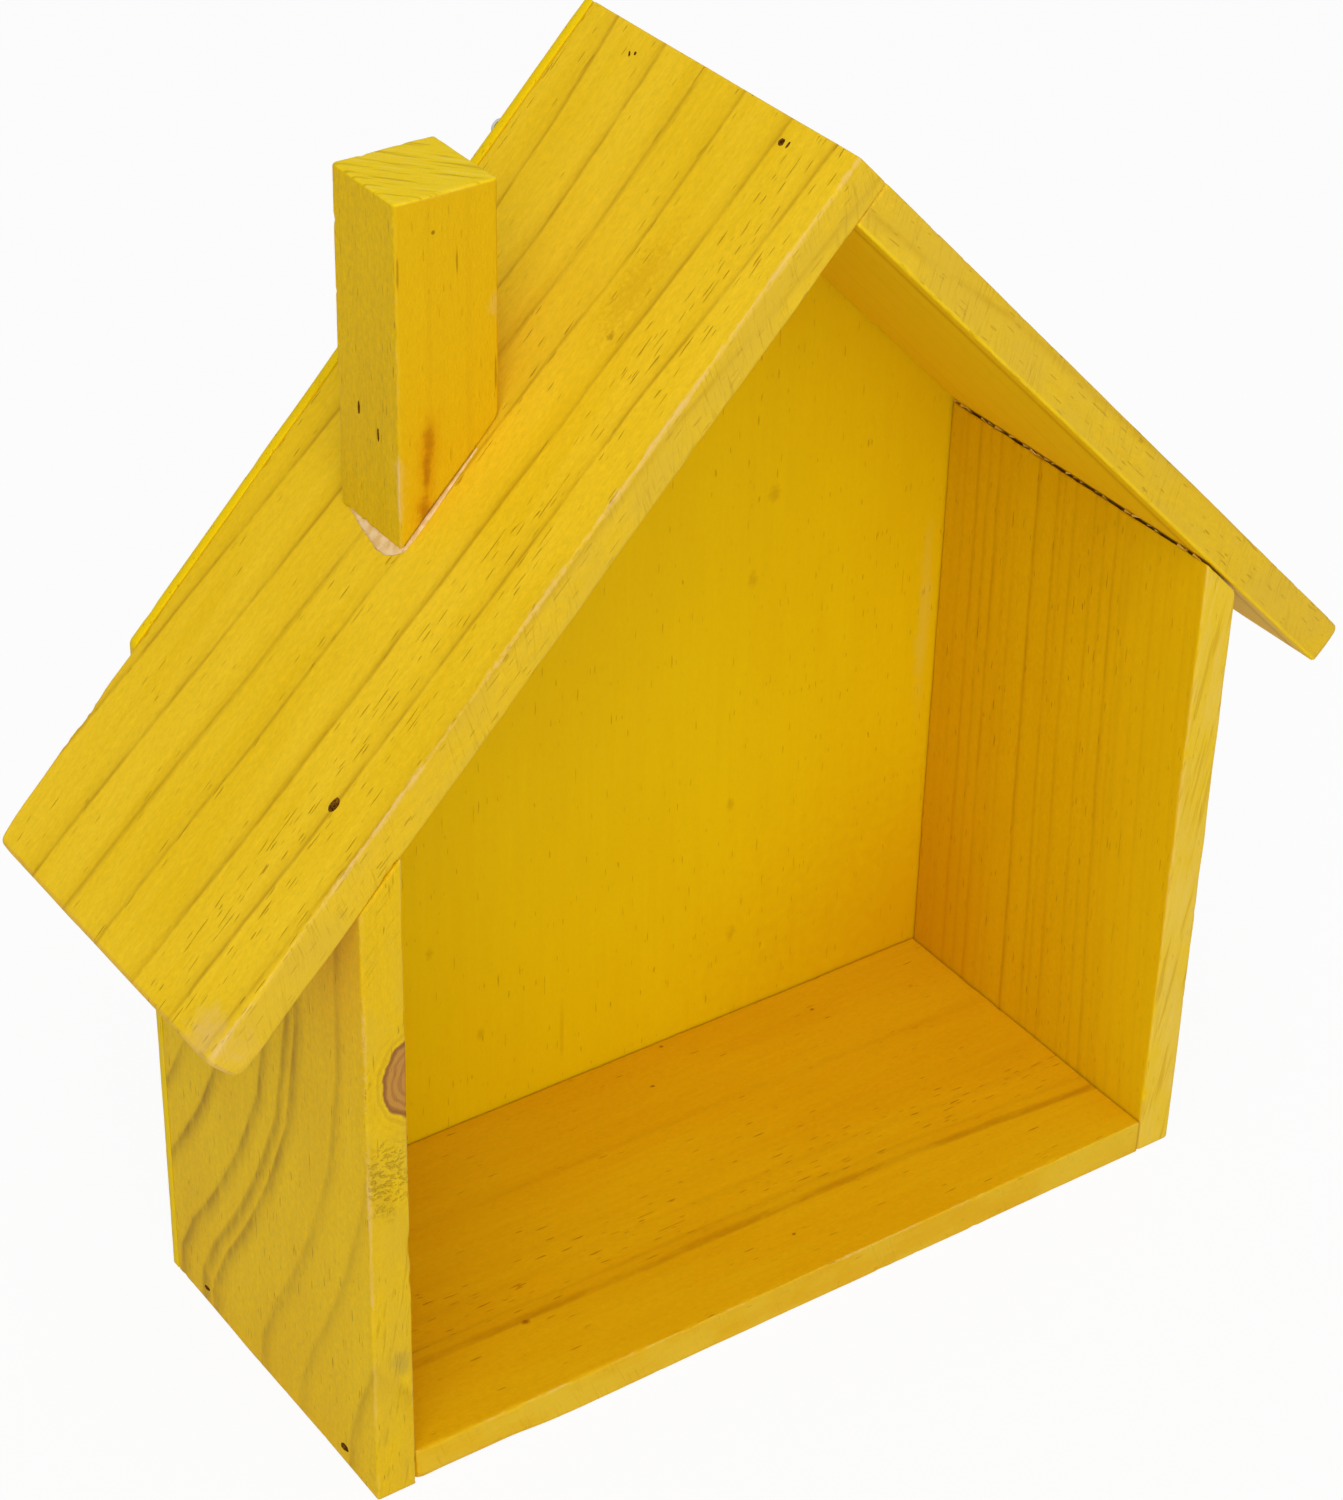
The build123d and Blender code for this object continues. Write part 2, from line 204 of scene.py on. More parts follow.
def clouds(tree, place, scale, stretch=(1, 1, 1), detail=2.0, rough=0.5, shift=(0, 0, 0)):
    """Soft noise, drawn out along an axis by a stretch of less than 1"""
    moved = add(tree, "ShaderNodeMapping", {"Vector": place, "Scale": stretch, "Location": shift})
    made = add(tree, "ShaderNodeTexNoise", {"Vector": moved.outputs[0], "Scale": scale, "Detail": detail,
        "Roughness": rough})
    return made.outputs[0]


def on_scale(tree, value, low, high):
    """The same value on a scale from 0 to 1"""
    return add(tree, "ShaderNodeMapRange", {"Value": value, "From Min": low, "From Max": high}).outputs[0]


def curve(tree, value, low, high, points):
    """A drawn curve through straight lines: points are (value, result) between low and high"""
    placed = on_scale(tree, value, low, high)
    made = add(tree, "ShaderNodeFloatCurve", {"Value": placed})
    drawn = made.mapping.curves[0]
    places = [((x - low) / (high - low), y) for x, y in points]
    drawn.points[0].location = places[0]
    drawn.points[1].location = places[-1]
    for x, y in places[1:-1]:
        drawn.points.new(x, y)
    for point in drawn.points:
        point.handle_type = "VECTOR"
    made.mapping.update()
    return made.outputs[0]


# %% [markdown]
# ## Grain space
#
# A board's grain belongs to the board, not to the room. So each finish first turns the Object
# coordinates into the board's own millimetres: u along the grain, v from the front edge to the rear,
# and w down into the board from its show face. A Mapping node does this with a scale, a turn about Y
# and a shift. A minus sign in the scale mirrors one axis where the board is a mirror image.

# %% Grain space


def grain_space(tree, mirror, turned, corner):
    """The board's own u, v and w in mm; corner is the object place of u = v = w = 0, in mm"""
    seat = object_place(tree)
    spin = Matrix.Rotation(turned, 3, "Y")
    flipped = Vector([m * c for m, c in zip(mirror, corner)])
    made = add(tree, "ShaderNodeMapping", {"Vector": seat, "Location": -(spin @ flipped),
        "Rotation": (0, turned, 0), "Scale": [m * 1000 for m in mirror]})
    place = made.outputs[0]
    parts = add(tree, "ShaderNodeSeparateXYZ", {0: place})
    return place, parts.outputs[0], parts.outputs[1], parts.outputs[2]


def far_out(tree, place, centre, radii):
    """How far a point lies from the middle of an oval: 1 on its rim"""
    away = add(tree, "ShaderNodeVectorMath", {0: place, 1: centre}, operation="SUBTRACT").outputs[0]
    away = add(tree, "ShaderNodeVectorMath", {0: away, 1: radii}, operation="DIVIDE").outputs[0]
    return add(tree, "ShaderNodeVectorMath", {0: away}, operation="LENGTH").outputs["Value"]


def spot(wood, centre, radii, soft=0.6, ragged=0.25, size=3.0):
    """A blot in grain space: 1 at its centre, 0 outside, with a ragged edge"""
    tree, place = wood.tree, wood.place
    far = far_out(tree, place, centre, radii)
    torn = clouds(tree, place, 1 / size, detail=3)
    far = math(tree, "ADD", far, times(tree, math(tree, "SUBTRACT", torn, 0.5), ragged * 2))
    return ease(tree, far, 1.0, 1.0 - soft)


# %% [markdown]
# ## The stained pine
#
# All the boards have one finish: a thin yellow stain that lets the wood show. One node group holds what
# they share, and each board hands it what is its own: where its growth lines run, how deep the stain
# looks, how worn it is. From the bottom up it lays
# - the stain, a little uneven along the grain;
# - growth lines, which fade in slowly on one side and stop sharply on the other;
# - short dark resin ducts, which look like pencil dashes;
# - a fine raised fibre that catches the light;
# - bare wood where the arrises have rubbed.

# %% Stained pine group


def make_stained_pine():
    tree = bpy.data.node_groups.new("stained_pine", "ShaderNodeTree")
    for name, kind, value in (("Grain place", "NodeSocketVector", (0, 0, 0)),
            ("Growth line", "NodeSocketFloat", 0.0), ("Ducts", "NodeSocketFloat", 0.3),
            ("Light stain", "NodeSocketColor", paint(230, 190, 40)),
            ("Deep stain", "NodeSocketColor", paint(218, 174, 25)),
            ("Line colour", "NodeSocketColor", paint(172, 120, 6)),
            ("Bare wood", "NodeSocketColor", paint(228, 191, 124)), ("Wear", "NodeSocketFloat", 0.0),
            ("Fibre", "NodeSocketFloat", 1.0)):
        made = tree.interface.new_socket(name, in_out="INPUT", socket_type=kind)
        made.default_value = value
    for name, kind in (("Colour", "NodeSocketColor"), ("Height", "NodeSocketFloat"),
            ("Roughness", "NodeSocketFloat")):
        tree.interface.new_socket(name, in_out="OUTPUT", socket_type=kind)
    given = add(tree, "NodeGroupInput").outputs
    place = given["Grain place"]

    broad = clouds(tree, place, 0.035, (0.35, 1, 1), 3, 0.55)
    streak = clouds(tree, place, 0.45, (0.05, 1, 1), 3, 0.6)
    uneven = math(tree, "ADD", ease(tree, broad, 0.35, 0.65, 0, 0.55), ease(tree, streak, 0.3, 0.7, 0, 0.45))
    colour = blend(tree, uneven, given["Light stain"], given["Deep stain"])

    patches = ease(tree, clouds(tree, place, 0.16, (0.22, 1, 1), 4, 0.7), 0.34, 0.6, 0.4, 1.0)
    lines = times(tree, given["Growth line"], patches)
    colour = blend(tree, lines, colour, given["Line colour"])

    dash = clouds(tree, place, 2.1, (0.09, 1, 1), 0, 0.4, (7.3, 0, 0))
    rare = math(tree, "SUBTRACT", 0.80, times(tree, given["Ducts"], 0.098))
    ducts = ease(tree, math(tree, "SUBTRACT", dash, rare), 0.0, 0.045)
    colour = blend(tree, times(tree, ducts, 0.72), colour, given["Line colour"])

    fibre = clouds(tree, place, 1.5, (0.3, 1, 1), 3, 0.75)
    speck = clouds(tree, place, 0.8, (0.75, 1, 1), 3, 0.8, (0, 0, 11))
    grain = math(tree, "ADD", times(tree, fibre, 0.5), times(tree, speck, 0.5))
    lift = times(tree, math(tree, "SUBTRACT", grain, 0.5), given["Fibre"])
    bright = math(tree, "MULTIPLY_ADD", lift, 0.52, 1.0)
    shade = add(tree, "ShaderNodeVectorMath", {0: colour, 3: bright}, operation="SCALE").outputs[0]

    worn = math(tree, "MULTIPLY_ADD", math(tree, "SUBTRACT", grain, 0.5), 1.5, given["Wear"])
    worn = ease(tree, worn, 0.34, 0.78)
    shade = blend(tree, times(tree, worn, 0.75), shade, given["Bare wood"])

    height = math(tree, "SUBTRACT", lift, times(tree, ducts, 0.5))
    height = math(tree, "MULTIPLY_ADD", lines, 0.12, height)
    rough = math(tree, "MULTIPLY_ADD", worn, 0.2, 0.56)
    rough = math(tree, "MULTIPLY_ADD", math(tree, "SUBTRACT", speck, 0.5), 0.25, rough)
    add(tree, "NodeGroupOutput", {"Colour": shade, "Height": height, "Roughness": rough})
    return tree


stained_pine = make_stained_pine()
print("stained pine group:", len(stained_pine.nodes), "nodes")

# %% [markdown]
# ## From growth lines to a finish
#
# Growth lines are the edges of the tree's rings. On a flat board they are nearly parallel, but they
# bend together. So the script works with a ring number in millimetres: v, less a bend that changes
# along the board. Two drawn curves give the bend at the front and at the rear, and a third curve has a
# peak at every line. Where the saw cut deeper into the log the lines move sideways, and a tilt does that
# from the show face to the hidden one.

# %% Growth lines on a board


def line_peaks(places, soft, width=0.5, low=0.22, strengths=None, end=160.0):
    """Curve points that climb slowly to each line over soft mm and drop sharply after it"""
    points = [(-40.0, 0.0)]
    for index, place in enumerate(places):
        top = 1.0 if strengths is None else strengths[index]
        start = max(place - soft, points[-1][0] + 0.05)
        points += [(start, 0.0), (max(place - width * 1.6, start + 0.05), low * top),
            (place - width * 0.35, 0.9 * top), (place + width * 0.25, top), (place + width * 0.8, 0.0)]
    return points + [(end, 0.0)]


def ring_number(wood, bend_front, bend_rear, tilt=0.8, wobble=1.2, reach=40.0):
    """v less the bend, with a tilt into the thickness and a slow wobble"""
    tree = wood.tree
    ends = []
    for bend in (bend_front, bend_rear):
        points = [(x, (y + reach) / (2 * reach)) for x, y in bend]
        value = curve(tree, wood.u, points[0][0], points[-1][0], points)
        ends.append(math(tree, "MULTIPLY_ADD", value, 2 * reach, -reach))
    rearward = math(tree, "DIVIDE", wood.v, board_depth)
    bent = add(tree, "ShaderNodeMix", {0: rearward, 2: ends[0], 3: ends[1]}).outputs[0]
    ring = math(tree, "SUBTRACT", wood.v, bent)
    ring = math(tree, "MULTIPLY_ADD", wood.w, tilt, ring)
    slow = clouds(tree, wood.place, 0.06, (0.5, 1, 1), 3, 0.6)
    return math(tree, "MULTIPLY_ADD", math(tree, "SUBTRACT", slow, 0.5), wobble * 2, ring)


# %% [markdown]
# A board's finish is begun with its stain and its grain space, then growth lines, ducts and marks are laid
# on one after another, and at the end the sum of them goes to the shader: a colour, a roughness, and a
# height that turns into a bump.

# %% A finish from start to end


def start_finish(name):
    made = bpy.data.materials.new(name)
    made.use_nodes = True
    made.node_tree.nodes.clear()
    return made, made.node_tree


def end_finish(tree, colour, rough, height, lift=0.00016, gloss=0.08):
    """The shader itself, with a bump from the height"""
    bump = add(tree, "ShaderNodeBump", {"Height": height, "Distance": lift, "Strength": 1.0})
    shader = add(tree, "ShaderNodeBsdfPrincipled",
        {"Base Color": colour, "Roughness": rough, "Normal": bump.outputs[0], "Specular IOR Level": gloss})
    add(tree, "ShaderNodeOutputMaterial", {"Surface": shader.outputs[0]})


def start_board(name, mirror, turned, corner, stain, deep, line=(172, 120, 6), fibre=1.0):
    """A board's finish up to the shared group; the rest is laid on top of it"""
    made, tree = start_finish(name)
    place, u, v, w = grain_space(tree, mirror, turned, corner)
    group = add(tree, "ShaderNodeGroup", node_tree=stained_pine)
    wear = add(tree, "ShaderNodeAttribute", attribute_name="wear", attribute_type="GEOMETRY")
    tree.links.new(place, group.inputs["Grain place"])
    tree.links.new(wear.outputs["Fac"], group.inputs["Wear"])
    for key, colour in (("Light stain", stain), ("Deep stain", deep), ("Line colour", line)):
        group.inputs[key].default_value = paint(*colour)
    group.inputs["Fibre"].default_value = fibre
    return SimpleNamespace(finish=made, tree=tree, place=place, u=u, v=v, w=w, group=group,
        colour=group.outputs["Colour"], height=group.outputs["Height"], rough=group.outputs["Roughness"])


def set_input(wood, name, value):
    wood.tree.links.new(value, wood.group.inputs[name])


def lay(wood, mask, colour, strength=1.0, rise=0.0):
    """Lays a colour over the wood where the mask is, and lifts or sinks it there"""
    tree = wood.tree
    amount = times(tree, mask, strength)
    wood.colour = blend(tree, amount, wood.colour, paint(*colour))
    if rise:
        wood.height = math(tree, "MULTIPLY_ADD", mask, rise, wood.height)


def end_board(wood):
    end_finish(wood.tree, wood.colour, wood.rough, wood.height)
    return wood.finish


# %% [markdown]
# ## Marks on a face
#
# Two marks turn up on several boards. A sawn front edge takes the stain unevenly, in a tone of its own, and
# the saw leaves fine parallel scratches across it at a slant. A face mask keeps a mark on one face: it is
# 1 where a point's u, v or w is that of the face.

# %% Face masks and saw marks


def near_face(wood, axis, at=0.0, within=0.5):
    """1 on the face where that axis has that value, 0 further than within mm away"""
    tree = wood.tree
    away = math(tree, "ABSOLUTE", math(tree, "SUBTRACT", getattr(wood, axis), at))
    return ease(tree, away, within, within * 0.5)


def sawn_edge(wood, amount=0.5, colour=(236, 202, 84)):
    """A sawn front edge takes the stain unevenly, in a tone of its own"""
    tree = wood.tree
    cloudy = ease(tree, clouds(tree, wood.place, 0.09, (0.5, 1, 1), 3, 0.6), 0.35, 0.65, 0.35, 1.0)
    lay(wood, times(tree, near_face(wood, "v"), cloudy), colour, amount)


def saw_marks(wood, mask, angle, pitch=0.7, depth=0.35, dark=0.25, colour=(168, 128, 10), seed=0.0):
    """Parallel scratches across an edge, broken up by noise"""
    tree = wood.tree
    turned = add(tree, "ShaderNodeMapping", {"Vector": wood.place, "Rotation": (0, radians(angle), 0),
        "Location": (seed, 0, 0)})
    lines = clouds(tree, turned.outputs[0], 1 / pitch, (0.07, 0.2, 1), 2, 0.6)
    some = ease(tree, clouds(tree, wood.place, 0.11, (0.6, 1, 1), 2, 0.5, (seed, 5, 0)), 0.38, 0.6)
    cut = times(tree, ease(tree, lines, 0.52, 0.7), times(tree, some, mask))
    lay(wood, cut, colour, dark, -depth)


# %% [markdown]
# ## The two slopes of the roof
#
# The left slope is the board that the picture shows best. Its growth lines run down the slope about
# 15 mm apart and bend a little towards the front at the eave. Rows of short ducts follow the front half,
# the front edge carries saw marks, and its upper arris is rubbed to a pale stripe. The right slope comes
# from the same plank. It is seen from its front edge and from below, where the stain is brighter.

# %% Slope finishes


def slope_finish(name, mirror, stain, deep):
    wood = start_board(name, mirror, pi + slope, (0.0, front, apex[1]), stain, deep, (176, 126, 4))
    tree = wood.tree
    rear = [(-5, 0), (25, -4.0), (47, -5.5), (75, -4.0), (100, -1.3), (150, 4.0), (194, 8.7), (220, 10.5)]
    fore = [(-5, 0), (30, 2.0), (60, 4.8), (90, 5.3), (164, 6.8), (220, 9.7)]
    ring = ring_number(wood, fore, rear, -0.8, 0.7)
    backward = math(tree, "SUBTRACT", 100.0, ring)
    lines = [1.5, 17.0, 34.2, 48.7, 62.5, 77.8, 92.8, 106.5, 121.0]
    growth = curve(tree, backward, -40, 160, line_peaks(lines, 4.5, 0.55, 0.2,
        (0.7, 0.75, 0.8, 0.9, 0.7, 0.8, 0.75, 0.9, 0.7)))
    set_input(wood, "Growth line", growth)
    rows = [(-40, 0.1), (4, 0.3), (5, 0.9), (8, 0.9), (10, 0.1), (59, 0.1), (61, 0.75), (63.5, 0.75),
        (66, 0.0), (82, 0.1), (83.5, 1.0), (89.5, 1.0), (92, 0.2), (94, 0.8), (97, 0.8), (99, 0.2),
        (107, 0.7), (160, 0.2)]
    set_input(wood, "Ducts", curve(tree, backward, -40, 160, rows))
    sawn_edge(wood, 0.8, (222, 183, 50))
    edge = near_face(wood, "v")
    saw_marks(wood, edge, 62, 0.65)
    saw_marks(wood, edge, 50, 0.9, 0.3, 0.2, seed=40)
    end_grain = near_face(wood, "u", 216.0, 1.0)
    lay(wood, end_grain, (206, 158, 70), 0.35)
    return wood


wood = slope_finish("left_slope_pine", (1, 1, 1), (240, 199, 36), (231, 188, 14))
lay(wood, spot(wood, (212, 6, 5), (9, 9, 12), 0.8, 0.5), (226, 186, 110), 0.55)
lay(wood, spot(wood, (55, 28, 0), (1.6, 1.2, 2), 0.8, 0.8, 1.0), (160, 112, 8), 0.6, -0.4)
lay(wood, spot(wood, (44, 30, 0), (17, 6, 3), 0.9, 1.2, 1.2), (204, 152, 8), 0.35, 0.2)
left_slope_wood = end_board(wood)

wood = slope_finish("right_slope_pine", (-1, 1, 1), (238, 197, 40), (229, 185, 18))
lay(wood, near_face(wood, "w", 10.0, 1.0), (250, 212, 14), 0.75)
band = times(wood.tree, near_face(wood, "w", 10.0, 1.5),
    curve(wood.tree, wood.v, -2, 94, [(-2, 0), (4, 0), (6, 1), (7.5, 0.6), (9, 0), (94, 0)]))
lay(wood, band, (188, 138, 4), 0.5)
right_slope_wood = end_board(wood)
print("slopes:", len(left_slope_wood.node_tree.nodes), "nodes each")

# %% [markdown]
# ## The walls
#
# The walls are cut from the side of a log. On the left one the lines form tall brown arches that sweep
# from the upper front to the lower rear. Its front edge has saw marks low down, a crumbly patch where
# the saw tore the wood, and a grey smudge.

# %% Left wall finish
wood = start_board("left_wall_pine", (-1, 1, 1), pi / 2, (-half_span, front, 0), (236, 195, 4),
    (228, 183, 0), (168, 122, 2), 1.25)
tree = wood.tree
sweep = [(-2, 25.5), (10, 24.4), (23, 19.6), (38, 11.6), (60, 0.3), (83, -10.2), (113, -17), (175, -20)]
ring = ring_number(wood, [(x, 0.72 * y) for x, y in sweep], [(x, 1.3 * y) for x, y in sweep], 0.5, 0.3)
arches = [(-8, 0.5), (10, 0.35), (25, 0.45), (44, 0.8), (48.5, 0.75), (57.5, 0.8), (75.5, 1.0), (89.5, 0.6),
    (104, 0.5)]
growth = curve(tree, ring, -40, 160, line_peaks([r for r, _ in arches], 4.5, 1.3, 0.35,
    [amount for _, amount in arches]))
set_input(wood, "Growth line", growth)
lay(wood, near_face(wood, "u", 0.0, 1.0), (196, 150, 70), 0.3)
sawn_edge(wood, 0.7, (218, 180, 44))
edge = near_face(wood, "v")
low = times(tree, edge, ease(tree, wood.u, 78, 64))
saw_marks(wood, low, 8, 0.8, 0.5, 0.3)
saw_marks(wood, times(tree, edge, ease(tree, wood.u, 96, 104)), 42, 0.8, 0.4, 0.25, seed=9)
crumbly = times(tree, edge, spot(wood, (91, 0, 5), (14, 3, 8), 0.6, 0.5))
rough = clouds(tree, wood.place, 0.8, (1, 1, 0.6), 3, 0.7)
lay(wood, times(tree, crumbly, ease(tree, rough, 0.5, 0.62)), (176, 138, 8), 0.4, -1.6)
grey = spot(wood, (38, 0, 7), (5, 3, 3.5), 0.8, 0.5)
lay(wood, times(tree, edge, grey), (178, 150, 60), 0.5)

# %% [markdown]
# A knot is a branch that the tree grew round. It is drawn from how far a point lies out of the middle of
# an oval: its rings are a sine of that distance, and it has a dark rim and ripples of grain round it.

# %% The knot in the left wall
knot_at, knot_size = (115.0, 0.0, 12.2), (11.0, 9.0, 8.4)
far = far_out(tree, wood.place, knot_at, knot_size)
ragged = math(tree, "SUBTRACT", clouds(tree, wood.place, 0.22, detail=4), 0.5)
far = math(tree, "MULTIPLY_ADD", ragged, 0.26, far)
rings = math(tree, "SINE", times(tree, far, 30.0))
inside = ease(tree, far, 1.0, 0.93)
halo = ease(tree, far, 1.5, 0.95)
lay(wood, times(tree, halo, ease(tree, rings, -0.2, 0.9)), (186, 138, 20), 0.35, -0.4)
lay(wood, inside, (184, 126, 66), 0.85)
lay(wood, times(tree, inside, ease(tree, rings, -0.3, 0.8)), (150, 94, 46), 0.4, 0.5)
rim = times(tree, ease(tree, far, 0.82, 0.94), inside)
lay(wood, rim, (132, 82, 40), 0.7)
left_wall_wood = end_board(wood)
print("left wall finish:", len(tree.nodes), "nodes")

# %% [markdown]
# The right wall has many fine upright lines, close together. Painted light makes it yellower towards the
# front, where the room's light falls, and painted shade makes it more orange low at the rear. Long pale
# streaks run down its front edge.

# %% Right wall finish
wood = start_board("right_wall_pine", (1, 1, 1), pi / 2, (half_span, front, 0), (230, 188, 2),
    (226, 180, 0), (176, 112, 0), 0.8)
tree = wood.tree
lean_front = [(-2, -9), (30, -7), (80, -3.5), (130, -1), (175, 0)]
lean_rear = [(-2, 0.5), (90, 0), (175, 0)]
ring = ring_number(wood, lean_front, lean_rear, 0.15, 0.7)
upright = [(4, 0.5), (7, 0.5), (12, 0.6), (14, 0.4), (18, 0.6), (23, 0.5), (27, 0.6), (29, 0.4), (32, 0.9),
    (36, 0.5), (40, 0.6), (47, 0.6), (51, 0.5), (53, 0.6), (60, 0.95), (67.5, 0.5), (70, 0.5), (74, 0.9),
    (78, 0.5), (82, 0.7), (87, 0.5), (89.5, 0.4)]
shifted = math(tree, "ADD", ring, 1.5)
growth = curve(tree, shifted, -40, 160, line_peaks([r + 1.5 for r, _ in upright], 1.8, 0.42, 0.3,
    [a * 0.55 for _, a in upright]))
set_input(wood, "Growth line", growth)
# painted light: the front of the wall is laid yellower, where the room's light falls
fore = ease(tree, wood.v, 45, 4)
lay(wood, fore, (240, 202, 10), 0.55)
# painted shade: the low rear of the wall, deep inside the house, is laid more orange
painted_rear_shade = times(tree, ease(tree, wood.v, 40, 92), ease(tree, wood.u, 150, 10))
lay(wood, painted_rear_shade, (212, 148, 0), 0.6)
sawn_edge(wood, 0.6)
edge = near_face(wood, "v")
long_streaks = add(tree, "ShaderNodeMapping", {"Vector": wood.place, "Rotation": (0, radians(-9), 0)})
streaks = clouds(tree, long_streaks.outputs[0], 0.55, (0.06, 0.2, 1), 3, 0.6)
lay(wood, times(tree, edge, ease(tree, streaks, 0.5, 0.66)), (236, 200, 90), 0.5)
lay(wood, times(tree, edge, ease(tree, streaks, 0.48, 0.36)), (204, 156, 14), 0.5)
right_wall_wood = end_board(wood)

# %% [markdown]
# ## Floor, back panel and chimney
#
# The floor is smooth, with one soft brown band near its front and a few dark specks. Where it meets the
# right wall and the back panel a thin dark line is laid in the joint: partly a dark joint, partly painted
# shade.

# %% Floor finish
wood = start_board("floor_pine", (1, 1, -1), 0, (-inner, front, floor_thickness), (226, 178, 8),
    (222, 166, 2), (170, 104, 0), 0.7)
tree = wood.tree
band = [(-2, 0.3), (19, 0), (72, -1), (114, -1.3), (155, -2.6), (182, -5), (212, -7.8)]
ring = ring_number(wood, band, [(-2, 0), (212, -2)], -0.5, 0.5)
tones = [(-40, 0), (15, 0), (22.6, 0.04), (23.4, 0.55), (24.4, 0.6), (25.4, 0.14), (27, 0.1), (28, 0.26),
    (29, 0.05), (34, 0.0), (36.5, 0.12), (38, 0.0), (44, 0.05), (52, 0), (63, 0), (64, 0.12), (67, 0),
    (160, 0)]
set_input(wood, "Growth line", curve(tree, ring, -40, 160, tones))
set_input(wood, "Ducts", curve(tree, ring, -40, 160,
    [(-40, 0), (26, 0), (28, 0.5), (41, 0.6), (44, 0), (160, 0)]))
for x, y, size in ((43.3, 22.5, 1.0), (113.3, 13.3, 0.6), (116.7, 77.7, 0.6), (169, 81.3, 0.6),
        (127.8, 89.7, 0.6)):
    mark = spot(wood, (x, y, 0), (size * 1.4, size, 2), 0.7, 0.5, 0.8)
    lay(wood, mark, (128, 58, 4), 0.7, -0.3)
sawn_edge(wood, 0.5, (232, 202, 60))
saw_marks(wood, near_face(wood, "v"), 70, 0.8, 0.3, 0.2, (190, 146, 20))
# a thin dark line along both joints: partly the dark joint itself, partly painted shade in the corner
joint_line_and_shade = math(tree, "MAXIMUM", ease(tree, wood.u, 2 * inner - 0.9, 2 * inner - 0.2),
    ease(tree, wood.v, 91, 91.8))
lay(wood, joint_line_and_shade, (150, 88, 0), 0.5)
floor_wood = end_board(wood)

# %% [markdown]
# The back panel is plywood with a smooth yellow face, so its fibre is turned low. It has a few smudges, and
# painted shade makes it more orange in its lower right corner.

# %% Back panel finish
wood = start_board("painted_panel", (1, 1, 1), pi / 2, (0, board_rear, 0), (239, 203, 0), (236, 197, 0),
    (206, 160, 2), 0.28)
tree = wood.tree
for x, z, size in ((53, 159.7, 2.2), (47.5, 138, 2.0), (43.3, 74.7, 1.6), (-44, 64.3, 1.6), (45, 34.7, 2.0),
        (-29.7, 34.3, 1.6)):
    mark = spot(wood, (z, 0, -x), (size * 1.6, 3, size), 0.9, 0.6, 1.5)
    lay(wood, mark, (196, 146, 10), 0.4, 0.3)
# painted shade: a broad soft orange patch over the panel's lower right corner
corner = spot(wood, (8, 0, -105), (85, 4, 95), 1.0, 0.3)
lay(wood, corner, (222, 168, 0), 0.7)
streak = spot(wood, (25, 0, 6), (12, 3, 1.0), 0.9, 0.4)
lay(wood, streak, (204, 156, 4), 0.35)
smear = spot(wood, (110, 0, -101), (36, 3, 3), 0.9, 0.5, 6.0)
lay(wood, smear, (232, 204, 90), 0.3)
panel_paint = end_board(wood)

# %% [markdown]
# The chimney is an upright block, so u runs down from its top. Two growth lines and three streaks of amber
# resin show on its front. Its top is end grain, where the years show as slanted bands.

# %% Chimney finish
near_side = -(chimney_from_ridge - chimney_side / 2)
far_side = -(chimney_from_ridge + chimney_side / 2)
chimney_front = front + chimney_from_front - chimney_side / 2


def roof_at(x):
    """Height of the roof's upper face"""
    return apex[1] - abs(x) * tan(slope)


chimney_top = roof_at(far_side) + chimney_height
wood = start_board("chimney_pine", (-1, 1, 1), pi / 2, (far_side, chimney_front, chimney_top),
    (230, 188, 0), (221, 177, 0), (160, 110, 2), 1.6)
tree = wood.tree
across = math(tree, "MULTIPLY_ADD", wood.v, 0.2, wood.w)
tones = [(-40, 0), (6.6, 0.0), (7.4, 0.5), (8.0, 0.1), (15.6, 0.0), (16.7, 0.55), (17.4, 0.0), (160, 0)]
set_input(wood, "Growth line", curve(tree, across, -40, 160, tones))
fore = near_face(wood, "v")
lay(wood, fore, (222, 176, 14), 0.75)
for w_at, u_at, long in ((0.6, -14.5, 5), (14, -15, 4), (22.7, -42, 5)):
    lay(wood, spot(wood, (u_at, 0, w_at), (long, 3, 0.35), 0.6, 0.3), (158, 106, 6), 0.6)
lay(wood, spot(wood, (-7.9, 0, 8.7), (0.6, 3, 0.6), 0.6, 0.3), (120, 70, 6), 0.7)
for u_at, w_at, long, wide in ((-53, 7.0, 6.5, 1.8), (-60, 6.3, 7.5, 1.3), (-68, 5.6, 4.0, 1.9)):
    halo = spot(wood, (u_at, 0, w_at), (long * 1.6, 4, wide * 2.6), 1.0, 0.4)
    lay(wood, times(tree, halo, fore), (212, 138, 4), 0.5)
    streak = spot(wood, (u_at, 0, w_at), (long, 3, wide), 0.9, 0.5, 2.0)
    lay(wood, times(tree, streak, fore), (158, 92, 4), 0.6)

# %% End grain on the chimney
top_face = near_face(wood, "u", 0.0, 0.7)
slanted = add(tree, "ShaderNodeMapping", {"Vector": wood.place, "Rotation": (radians(42), 0, 0)})
years = clouds(tree, slanted.outputs[0], 0.75, (0.2, 0.08, 1), 2, 0.55)
lay(wood, top_face, (240, 206, 20), 0.85)
lay(wood, times(tree, top_face, ease(tree, years, 0.52, 0.68)), (186, 150, 10), 0.6, -0.6)
lay(wood, times(tree, top_face, ease(tree, years, 0.46, 0.34)), (238, 212, 84), 0.5)
chimney_wood = end_board(wood)
print("chimney finish:", len(tree.nodes), "nodes")

# %% [markdown]
# ## Steel
#
# The brads are cut from dark wire, the hanger is a zinc plated strip, and its nails and the roof's brads
# are bright. These pieces are shown as they come from the construction model.

# %% Steel finishes


